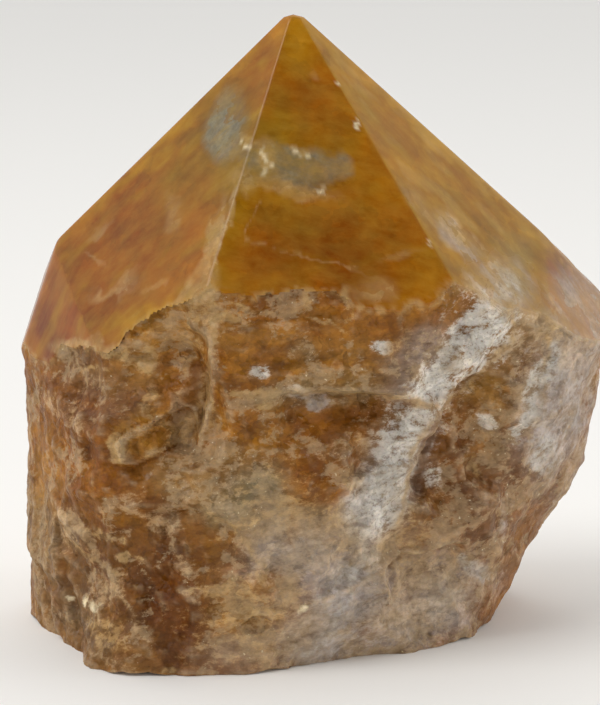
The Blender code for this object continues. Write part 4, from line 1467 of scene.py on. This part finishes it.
def add(tree: Nodes, kind: str, inputs: dict[int | str, Feed], output: int | str = 0,
        **settings: object) -> Socket:
    """Add a node with its settings, and set or link its inputs.

    Args:
        tree: the node tree of a material or a world.
        kind: the node's type without its "ShaderNode", such as "Mix".
        inputs: socket name or number to a value, or to the output socket that feeds it.
        output: name or number of the output wanted.
        settings: the node's own properties.

    Returns:
        The output socket, or nothing where the node has none.
    """
    node = tree.nodes.new("ShaderNode" + kind)
    for name, value in settings.items():
        setattr(node, name, value)
    for socket, value in inputs.items():
        if isinstance(value, bpy.types.NodeSocket):
            tree.links.new(value, node.inputs[socket])
        else:
            node.inputs[socket].default_value = value
    return node.outputs[output] if node.outputs else None


@dataclass(frozen=True)
class Grain:
    """A pattern in the stone's grain: how wide its lumps are, how fine it goes, how rough and how bent."""

    size: float
    detail: float = 3.0
    roughness: float = 0.55
    distortion: float = 0.0

    def inputs(self, place: Socket, unit: float = MM) -> dict[int | str, Feed]:
        """Give a noise node's inputs, with the scale worked out from the size in millimetres."""
        return {
            "Vector": place, "Scale": 1 / (self.size * unit), "Detail": self.detail,
            "Roughness": self.roughness, "Distortion": self.distortion,
        }


@dataclass(frozen=True)
class Ramp:
    """A change from start to end, while what feeds it goes from low to high."""

    low: float
    high: float
    start: float = 0.0
    end: float = 1.0

    def inputs(self, value: Socket) -> dict[int | str, Feed]:
        """Give a range node's inputs."""
        return {0: value, 1: self.low, 2: self.high, 3: self.start, 4: self.end}


@dataclass(frozen=True)
class Readings:
    """What the finish reads off the stone, and the patterns that several of its layers share."""

    place: Socket  # where on the stone, in metres
    grain: Socket  # the same combed along the grain, in millimetres
    bent: Socket  # where on the stone, in millimetres, shifted about for the plates of broken stone
    body: Socket  # the body's colour
    coat: Socket  # the coat's colour
    share: Socket  # how much coat there is
    powder: Socket  # how powdery it is
    polish: Socket  # 1 where the stone is polished
    broken: Socket  # 1 where it is broken
    crystal: Socket  # the random numbers of the crystal plates under the polish
    chip: Socket  # the middle of the nearest cleavage chip
    fray: Socket  # fine noise that frays rims
    veils: Socket  # streaky noise that hangs veils


@dataclass(frozen=True)
class HoneyCalcite:
    """Honey calcite, a soft banded stone: rubbed to a gentle gloss where ground, sugary where broken.

    Light goes a little way into it, so that it glows along its edges. The gloss is clear on the
    polished faces and broken up by cleavage chips elsewhere, and the white crust has none. Pale
    wisps of bruised calcite run through it, with clear deep honey between them.
    """

    name: str = "polished_honey_calcite"
    ior: float = 1.5
    specular: float = 0.22
    polished_roughness: float = 0.24
    crust_roughness: float = 0.95
    flash: Ramp = Ramp(0.7, 0.95, 0.5, 0.25)  # roughness of broken stone: the luckiest chips flash
    glow: float = 0.18
    glow_depth: float = 1.5
    glow_tint: Triple = (1.0, 0.55, 0.2)
    # patterns, by the width of their lumps in millimetres
    fray: Grain = Grain(1.5, 7.0, 0.78)
    veils: Grain = Grain(3.0, 9.0, 0.68, 0.5)
    clouds: Grain = Grain(4.0, 3.0, 0.6)
    pockets: Grain = Grain(3.4, 6.0, 0.7)
    swarms: Grain = Grain(6.5, 4.0, 0.6)
    pits: Grain = Grain(0.5, 4.0, 0.6)
    warp: Grain = Grain(2.5, 2.0, 0.55)
    dust: Grain = Grain(1.3, 8.0, 0.74)
    glint_specks: Grain = Grain(0.55, 2.5, 0.55)
    motes: Grain = Grain(0.9, 4.0, 0.7)
    rubble: Grain = Grain(0.5, 3.0, 0.65)
    # crystal plates with wavy borders, and the cleavage chips of broken stone
    bend: float = 5.0  # how far the borders stray
    plate_size: float = 3.2
    plate_shade: Ramp = Ramp(0.0, 1.0, -1.0, 1.0)
    plate_contrast: Pair = (0.09, 0.18)  # under the polish, and where broken
    chip_size: float = 1.3
    # relief too fine for the mesh
    rubble_height: float = 0.07
    chip_tilt: float = 0.7
    plate_tilt: float = 0.34
    relief_share: Ramp = Ramp(0.0, 1.0, 0.02, 1.0)
    # how the coat covers the body: fully where its share, frayed by noise, is high
    rim_fray: float = 5.0
    rough_rim: Ramp = Ramp(2.7, 3.3, 0.0, 0.95)
    soft_rim: Ramp = Ramp(0.38, 0.62, 0.5, 0.9)
    plate_cover: Ramp = Ramp(0.0, 1.0, 0.45, 1.15)
    powder_cover: Ramp = Ramp(0.0, 1.0, 0.5, 1.0)
    # shades that the colour is multiplied by: clouds, mottled grey, and grit where broken
    drift: Ramp = Ramp(0.3, 0.7, 0.86, 1.14)
    mottle: Ramp = Ramp(0.36, 0.64, 1.22, 0.74)
    grit: Ramp = Ramp(0.4, 0.6, 0.8, 1.2)
    # pale light that hangs in veils under the polish
    haze_fray: float = 0.8
    haze: Ramp = Ramp(0.72, 1.08, 0.055, 0.0)
    haze_tint: Triple = (1.0, 0.9, 0.15)
    # clear pockets, what lies on the broken stone, painted glints in its dust and painted shade in the
    # crust's pits
    clear: Ramp = Ramp(0.53, 0.43, 0.0, 0.6)
    deep: Triple = (0.64, 0.5, 0.28)
    shelter: float = 0.8  # how much the coat keeps them off
    seam_fray: float = 0.8
    seam: Ramp = Ramp(-0.36, -0.46)
    seam_dust: float = 0.08
    swarm_dust: float = 1.3
    dusty: Ramp = Ramp(1.15, 1.25, 0.0, 0.55)
    dust_glints: float = 0.14
    glinting: Ramp = Ramp(0.755, 0.785, 0.0, 0.75)
    pit_shading: Ramp = Ramp(0.44, 0.36, 0.0, 0.4)

    def material(self) -> bpy.types.Material:
        """Build the stone's material.

        Returns:
            The material, which reads the mesh's colours and finish and lays the fine grain over them.
        """
        material = bpy.data.materials.new(self.name)
        material.use_nodes = True
        tree = material.node_tree
        tree.nodes.clear()
        read = self.readings(tree)
        strength = add(tree, "MapRange", self.relief_share.inputs(read.broken))
        relief = {"Height": self.relief(tree, read), "Strength": strength, "Distance": MM}
        shader = add(tree, "BsdfPrincipled", {
            "Base Color": self.colour(tree, read), "Roughness": self.roughness(tree, read),
            "IOR": self.ior, "Specular IOR Level": self.specular, "Normal": add(tree, "Bump", relief),
            "Subsurface Weight": self.glow, "Subsurface Radius": self.glow_tint,
            "Subsurface Scale": self.glow_depth * MM,
        })
        add(tree, "OutputMaterial", {0: shader})
        return material

    def readings(self, tree: Nodes) -> Readings:
        """Read the mesh's colours and finish, and set up the places and patterns that layers share.

        Args:
            tree: the material's nodes.

        Returns:
            The sockets that give them.
        """
        place = add(tree, "TexCoord", {}, "Object")
        body, coat, finish, grain = (
            add(tree, "Attribute", {}, "Vector", attribute_name=name)
            for name in ("body", "coat", "finish", "grain")
        )
        polish, powder, share = (add(tree, "SeparateXYZ", {0: finish}, number) for number in range(3))
        warp = add(tree, "TexNoise", self.warp.inputs(place), "Color")
        warp = add(tree, "VectorMath", {0: warp, 3: self.bend}, operation="SCALE")
        bent_grain = add(tree, "VectorMath", {0: grain, 1: warp}, operation="ADD")
        return Readings(
            place=place,
            grain=grain,
            bent=add(tree, "VectorMath", {0: place, 1: (1 / MM,) * 3, 2: warp}, operation="MULTIPLY_ADD"),
            body=body,
            coat=coat,
            share=share,
            powder=powder,
            polish=polish,
            broken=add(tree, "Math", {0: 1.0, 1: polish}, operation="SUBTRACT"),
            crystal=add(tree, "TexVoronoi", self.plates(bent_grain), "Color"),
            chip=add(tree, "TexVoronoi", {"Vector": place, "Scale": 1 / (self.chip_size * MM)}, "Position"),
            fray=add(tree, "TexNoise", self.fray.inputs(grain, 1.0)),
            veils=add(tree, "TexNoise", self.veils.inputs(grain, 1.0)),
        )

    def plates(self, place: Socket) -> dict[int | str, Feed]:
        """Give the inputs of a cell node that draws the crystal plates."""
        return {"Vector": place, "Scale": 1 / self.plate_size}

    def roughness(self, tree: Nodes, read: Readings) -> Socket:
        """Roughen the gloss: a few chips flash, polished faces shine and the crust is dull.

        Args:
            tree: the material's nodes.
            read: what it reads off the stone.

        Returns:
            The roughness.
        """
        luck = add(tree, "SeparateXYZ", {0: read.chip.node.outputs["Color"]}, 1)
        flash = add(tree, "MapRange", self.flash.inputs(luck))
        gloss = add(tree, "Mix", {0: read.polish, 2: flash, 3: self.polished_roughness})
        return add(tree, "Mix", {0: read.powder, 2: gloss, 3: self.crust_roughness})

    def relief(self, tree: Nodes, read: Readings) -> Socket:
        """Raise what is too fine for the mesh: rubble, and the tilted faces of the chips and plates.

        Each cell's face has the height of the place from the cell's middle along a slope of its own.

        Args:
            tree: the material's nodes.
            read: what it reads off the stone.

        Returns:
            The height, in millimetres.
        """
        height = add(tree, "TexNoise", self.rubble.inputs(read.place))
        height = add(tree, "Math", {0: height, 1: self.rubble_height}, operation="MULTIPLY")
        plate = add(tree, "TexVoronoi", self.plates(read.bent), "Position")
        faces = ((read.place, read.chip, self.chip_tilt / MM), (read.bent, plate, self.plate_tilt))
        for place, middle, rise in faces:
            inward = add(tree, "VectorMath", {0: place, 1: middle}, operation="SUBTRACT")
            tilt = {0: middle.node.outputs["Color"], 1: (0.5, 0.5, 0.5)}
            tilt = add(tree, "VectorMath", tilt, operation="SUBTRACT")
            slope = add(tree, "VectorMath", {0: inward, 1: tilt}, "Value", operation="DOT_PRODUCT")
            height = add(tree, "Math", {0: slope, 1: rise, 2: height}, operation="MULTIPLY_ADD")
        return height

    def colour(self, tree: Nodes, read: Readings) -> Socket:
        """Lay the coat, the shades of the grain, what lies on the broken stone, painted glints and the
        painted shade of pits over the body's colour.

        Args:
            tree: the material's nodes.
            read: what it reads off the stone.

        Returns:
            The surface's colour.
        """
        soft_cover, cover = self.covers(tree, read)
        colour = add(tree, "Mix", {0: cover, 4: read.body, 5: read.coat}, 1, data_type="VECTOR")
        shades = (self.clouded(tree, read), self.plated(tree, read), self.mottled(tree, read, soft_cover))
        for shade in shades:
            colour = add(tree, "VectorMath", {0: colour, 3: shade}, operation="SCALE")
        haze = {0: self.hazed(tree, read), 1: self.haze_tint, 2: colour}
        colour = add(tree, "VectorMath", haze, operation="MULTIPLY_ADD")
        # the broken stone is bare where no coat lies on it
        bare = add(tree, "Math", {0: cover, 1: -self.shelter, 2: 1.0}, operation="MULTIPLY_ADD")
        bare = add(tree, "Math", {0: bare, 1: read.broken}, operation="MULTIPLY")
        # clear deep honey shows through in pockets
        pockets = add(tree, "TexNoise", self.pockets.inputs(read.grain, 1.0))
        clear = add(tree, "MapRange", self.clear.inputs(pockets), **EASED)
        clear = add(tree, "Math", {0: clear, 1: bare}, operation="MULTIPLY")
        deep = add(tree, "VectorMath", {0: colour, 1: self.deep}, operation="MULTIPLY")
        colour = add(tree, "Mix", {0: clear, 4: colour, 5: deep}, 1, data_type="VECTOR")
        dust = self.dusted(tree, read, bare)
        colour = add(tree, "Mix", {0: dust, 4: colour, 5: tuple(pigment(DUST))}, 1, data_type="VECTOR")
        grit = add(tree, "MapRange", self.grit.inputs(read.fray))
        grit = add(tree, "Mix", {0: read.broken, 2: 1.0, 3: grit})
        colour = add(tree, "VectorMath", {0: colour, 3: grit}, operation="SCALE")
        # painted glints: tiny bright specks, like chips that flash, lie in the dust
        glint_specks = add(tree, "TexNoise", self.glint_specks.inputs(read.place))
        glint_specks = add(tree, "Math", {0: dust, 1: self.dust_glints, 2: glint_specks}, operation="MULTIPLY_ADD")
        glint_specks = add(tree, "MapRange", self.glinting.inputs(glint_specks), **EASED)
        glint_specks = add(tree, "Math", {0: glint_specks, 1: bare}, operation="MULTIPLY")
        # and painted shade: dark specks where the crust is pitted
        pits = add(tree, "TexNoise", self.pits.inputs(read.place))
        pits = add(tree, "MapRange", self.pit_shading.inputs(pits), **EASED)
        pits = add(tree, "Math", {0: pits, 1: read.powder}, operation="MULTIPLY")
        for share, stain in ((glint_specks, GLINT), (pits, BROWN)):
            blend = {0: share, 4: colour, 5: tuple(pigment(stain))}
            colour = add(tree, "Mix", blend, 1, data_type="VECTOR")
        return colour

    def covers(self, tree: Nodes, read: Readings) -> tuple[Socket, Socket]:
        """Work out how far the coat hides the body.

        Its rim frays on broken stone, and is softer and patchy, plate by plate, under the polish.

        Args:
            tree: the material's nodes.
            read: what it reads off the stone.

        Returns:
            The soft cover, and the cover in all.
        """
        rim = {0: read.fray, 1: self.rim_fray, 2: read.share}
        rim = add(tree, "Math", rim, operation="MULTIPLY_ADD")
        rough = add(tree, "MapRange", self.rough_rim.inputs(rim), **EASED)
        soft = add(tree, "MapRange", self.soft_rim.inputs(read.veils), **EASED)
        luck = add(tree, "SeparateXYZ", {0: read.crystal}, 1)
        patchy = add(tree, "MapRange", self.plate_cover.inputs(luck))
        soft = add(tree, "Math", {0: soft, 1: patchy}, operation="MULTIPLY")
        soft = add(tree, "Math", {0: soft, 1: read.share}, operation="MULTIPLY", use_clamp=True)
        blend = add(tree, "MapRange", self.powder_cover.inputs(read.powder))
        blend = add(tree, "Math", {0: blend, 1: read.broken}, operation="MULTIPLY")
        return soft, add(tree, "Mix", {0: blend, 2: soft, 3: rough})

    def clouded(self, tree: Nodes, read: Readings) -> Socket:
        """Let the brightness drift in clouds."""
        clouds = add(tree, "TexNoise", self.clouds.inputs(read.place))
        return add(tree, "MapRange", self.drift.inputs(clouds))

    def plated(self, tree: Nodes, read: Readings) -> Socket:
        """Show the crystals as plates, each a shade of its own.

        Args:
            tree: the material's nodes.
            read: what it reads off the stone.

        Returns:
            What to multiply the colour by.
        """
        shade = add(tree, "TexVoronoi", self.plates(read.bent), "Color")
        shade = add(tree, "Mix", {0: read.broken, 4: read.crystal, 5: shade}, 1, data_type="VECTOR")
        shade = add(tree, "SeparateXYZ", {0: shade}, 0)
        shade = add(tree, "MapRange", self.plate_shade.inputs(shade))
        polished, broken = self.plate_contrast
        contrast = add(tree, "Mix", {0: read.broken, 2: polished, 3: broken})
        return add(tree, "Math", {0: shade, 1: contrast, 2: 1.0}, operation="MULTIPLY_ADD")

    def mottled(self, tree: Nodes, read: Readings, soft_cover: Socket) -> Socket:
        """Mottle the grey clouds under the polish.

        Args:
            tree: the material's nodes.
            read: what it reads off the stone.
            soft_cover: how much coat lies under the polish.

        Returns:
            What to multiply the colour by.
        """
        motes = add(tree, "TexNoise", self.motes.inputs(read.place))
        motes = add(tree, "MapRange", self.mottle.inputs(motes))
        motes = add(tree, "Mix", {0: soft_cover, 2: 1.0, 3: motes})
        return add(tree, "Mix", {0: read.broken, 2: motes, 3: 1.0})

    def hazed(self, tree: Nodes, read: Readings) -> Socket:
        """Hang pale light in veils under the polish.

        Args:
            tree: the material's nodes.
            read: what it reads off the stone.

        Returns:
            How much light is added.
        """
        haze = {0: read.fray, 1: self.haze_fray, 2: read.veils}
        haze = add(tree, "Math", haze, operation="MULTIPLY_ADD")
        haze = add(tree, "MapRange", self.haze.inputs(haze))
        return add(tree, "Mix", {0: read.broken, 2: haze, 3: 0.0})

    def dusted(self, tree: Nodes, read: Readings, bare: Socket) -> Socket:
        """Lay pale dust on the broken stone in ragged swarms, thicker along the seams of the plates.

        Args:
            tree: the material's nodes.
            read: what it reads off the stone.
            bare: where the broken stone is bare.

        Returns:
            How much dust there is.
        """
        seam = add(tree, "TexVoronoi", self.plates(read.bent), "Distance", feature="DISTANCE_TO_EDGE")
        seam = add(tree, "Math", {0: read.fray, 1: -self.seam_fray, 2: seam}, operation="MULTIPLY_ADD")
        seam = add(tree, "MapRange", self.seam.inputs(seam), **EASED)
        swarms = add(tree, "TexNoise", self.swarms.inputs(read.place))
        dust = add(tree, "TexNoise", self.dust.inputs(read.grain, 1.0))
        for more, weight in ((swarms, self.swarm_dust), (seam, self.seam_dust)):
            dust = add(tree, "Math", {0: more, 1: weight, 2: dust}, operation="MULTIPLY_ADD")
        thick = add(tree, "Attribute", {}, "Fac", attribute_name="dust")
        dust = add(tree, "Math", {0: dust, 1: thick}, operation="ADD")
        dust = add(tree, "MapRange", self.dusty.inputs(dust), **EASED)
        return add(tree, "Math", {0: dust, 1: bare}, operation="MULTIPLY")


@dataclass
class CalcitePoint:
    """The piece itself: the stone's form meshed, stained and given its finish."""

    stone: Stone = field(default_factory=Stone)
    staining: Staining = field(default_factory=Staining)
    finish: HoneyCalcite = field(default_factory=HoneyCalcite)
    name: str = "honey_calcite_point"
    sharp_from: float = 38.0  # edges that turn by more degrees than this stay sharp

    def build(self) -> bpy.types.Object:
        """Mesh the stone, colour its points and dress it.

        Returns:
            The finished object, with its place in its mesh.
        """
        skin = self.stone.surface(self.stone.directions())
        staining = self.staining
        grain = staining.grain(skin)
        body = staining.streaks(skin, grain, staining.body(skin))
        coat = staining.coat(skin, body)
        mesh = self.mesh(skin.points)
        layers = {
            "body": staining.wear_and_shade(skin, body),
            "coat": staining.wear_and_shade(skin, coat.colour),
            "finish": np.stack([skin.polish, coat.powder * coat.share, coat.share], axis=-1),
            "grain": grain,
            "dust": staining.dust(skin),
        }
        for name, grid in layers.items():
            self.paint(mesh, name, grid)
        mesh.materials.append(self.finish.material())
        piece = bpy.data.objects.new(self.name, mesh)
        bpy.context.scene.collection.objects.link(piece)
        return piece

    def mesh(self, points: Array) -> bpy.types.Mesh:
        """Join the grid into one closed skin: rows of quads, and a fan at the tip and under the foot.

        Args:
            points: rows from the tip down and columns round, in millimetres.

        Returns:
            The mesh, in metres.
        """
        rows, columns = points.shape[:2]
        tip = np.array([[0.0, 0.0, self.stone.tip_height]])
        foot = np.zeros((1, 3))
        places = np.concatenate([points.reshape(-1, 3), tip, foot]) * MM
        here = np.arange(rows * columns).reshape(rows, columns)
        beside = np.roll(here, -1, axis=1)
        quads = np.stack([here[:-1], here[1:], beside[1:], beside[:-1]], axis=-1).reshape(-1, 4)
        crown = np.stack([np.full(columns, rows * columns), here[0], beside[0]], axis=-1)
        sole = np.stack([np.full(columns, rows * columns + 1), beside[-1], here[-1]], axis=-1)
        mesh = bpy.data.meshes.new(self.name)
        mesh.from_pydata(places.tolist(), [], [*quads.tolist(), *crown.tolist(), *sole.tolist()])
        mesh.shade_smooth()
        mesh.set_sharp_from_angle(angle=np.radians(self.sharp_from))
        return mesh

    def paint(self, mesh: bpy.types.Mesh, name: str, grid: Array) -> None:
        """Keep one number or three for each point of the mesh under a name.

        Args:
            mesh: the stone's mesh.
            name: the attribute's name.
            grid: the numbers, in rows and columns.
        """
        kind, key = ("FLOAT", "value") if grid.ndim == 2 else ("FLOAT_VECTOR", "vector")
        ends = [grid[0].mean(axis=0), grid[-1].mean(axis=0)]
        values = np.concatenate([grid.ravel(), *(np.ravel(end) for end in ends)])
        layer = mesh.attributes.new(name, kind, "POINT")
        layer.data.foreach_set(key, values.astype(np.float32))


@dataclass(frozen=True)
class Softbox:
    """A soft lamp that looks at the stone: its bearing, height angle, distance, width, power and tone."""

    name: str
    facing: float
    rise: float
    distance: float
    width: float
    power: float
    tone: str = "#ffffff"

    def build(self, target: Array) -> bpy.types.Object:
        """Stand the lamp and turn it to the target.

        Args:
            target: what it looks at, in millimetres.

        Returns:
            The lamp's object.
        """
        lamp = bpy.data.lights.new(self.name, "AREA")
        lamp.shape = "DISK"
        lamp.size = self.width * MM
        lamp.energy = self.power
        lamp.color = linear(self.tone)
        away = outward(self.facing, self.rise)
        stand = bpy.data.objects.new(self.name, lamp)
        stand.location = (target + away * self.distance) * MM
        stand.rotation_euler = Vector(away).to_track_quat("Z", "Y").to_euler()
        bpy.context.scene.collection.objects.link(stand)
        return stand


@dataclass
class Studio:
    """The pale floor, the soft lamps and the camera."""

    floor_half: float = 4000.0
    floor_tone: str = "#f4f2ee"
    floor_roughness: float = 0.9  # uncoated paper has no gloss, and takes only soft shade
    sky_tone: str = "#f2f2f2"
    sky_strength: float = 1.3
    dim_strength: float = 0.16
    dim_way: Triple = (0.1, -0.67, 0.74)  # towards the dim part of the room
    dim_band: Pair = (0.35, 0.95)  # cosines of how near the dim way it starts and is full
    target: Triple = (1.0, 0.0, 42.8)  # what the camera and the lamps look at
    camera_rise: float = 12.0  # degrees above level
    camera_distance: float = 430.0
    frame_height: float = 705.0  # pixels
    focal_length: float = 2776.0  # pixels
    film_height: float = 36.0  # millimetres
    softboxes: tuple[Softbox, ...] = (
        Softbox("key_softbox", -65.0, 58.0, 900.0, 500.0, 3.0),
        Softbox("right_softbox", 95.0, 10.0, 1000.0, 800.0, 2.4),
        Softbox("front_softbox", 12.0, 4.0, 1000.0, 900.0, 2.2),
    )

    def build(self) -> None:
        """Set up the floor, the sky, the lamps and the camera."""
        self.floor()
        self.sky()
        target = np.array(self.target)
        for softbox in self.softboxes:
            softbox.build(target)
        self.camera(target)
        bpy.context.scene.view_settings.view_transform = "Standard"

    def floor(self) -> None:
        """Lay a flat square of pale matt paper under the stone."""
        half = self.floor_half * MM
        corners = [(-half, -half, 0.0), (half, -half, 0.0), (half, half, 0.0), (-half, half, 0.0)]
        mesh = bpy.data.meshes.new("floor")
        mesh.from_pydata(corners, [], [(0, 1, 2, 3)])
        paper = bpy.data.materials.new("pale_paper")
        paper.use_nodes = True
        shader = paper.node_tree.nodes["Principled BSDF"]
        shader.inputs["Base Color"].default_value = (*linear(self.floor_tone), 1.0)
        shader.inputs["Roughness"].default_value = self.floor_roughness
        mesh.materials.append(paper)
        floor = bpy.data.objects.new("floor", mesh)
        bpy.context.scene.collection.objects.link(floor)

    def sky(self) -> None:
        """Fill the room with even pale light, left dim high in front, where the front face looks."""
        world = bpy.data.worlds.new("pale_room")
        world.use_nodes = True
        tree = world.node_tree
        toward = add(tree, "TexCoord", {}, "Generated")
        nearness = add(tree, "VectorMath", {0: toward, 1: self.dim_way}, "Value", operation="DOT_PRODUCT")
        dimming = Ramp(*self.dim_band, self.sky_strength, self.dim_strength)
        strength = add(tree, "MapRange", dimming.inputs(nearness), **EASED)
        shader = tree.nodes["Background"]
        shader.inputs["Color"].default_value = (*linear(self.sky_tone), 1.0)
        tree.links.new(strength, shader.inputs["Strength"])
        bpy.context.scene.world = world

    def camera(self, target: Array) -> None:
        """Stand the camera in front, a little above, and make it the scene's own.

        Args:
            target: what it looks at, in millimetres.
        """
        camera = bpy.data.cameras.new("camera")
        camera.sensor_fit = "VERTICAL"
        camera.sensor_height = self.film_height
        camera.lens = self.focal_length / self.frame_height * self.film_height
        away = outward(0.0, self.camera_rise)
        stand = bpy.data.objects.new("camera", camera)
        stand.location = (target + away * self.camera_distance) * MM
        stand.rotation_euler = Vector(away).to_track_quat("Z", "Y").to_euler()
        bpy.context.scene.collection.objects.link(stand)
        bpy.context.scene.camera = stand


def main() -> None:
    """Set up the studio, build the stone, hang it under the root, hide the solid's part and log its faces.
    """
    logging.basicConfig(level=logging.INFO, format="%(name)s: %(message)s")
    Studio().build()
    piece = CalcitePoint().build()
    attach(piece, "root")
    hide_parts(NODE)
    LOG.info("%s: %d faces", piece.name, len(piece.data.polygons))


if __name__ == "__main__":
    main()
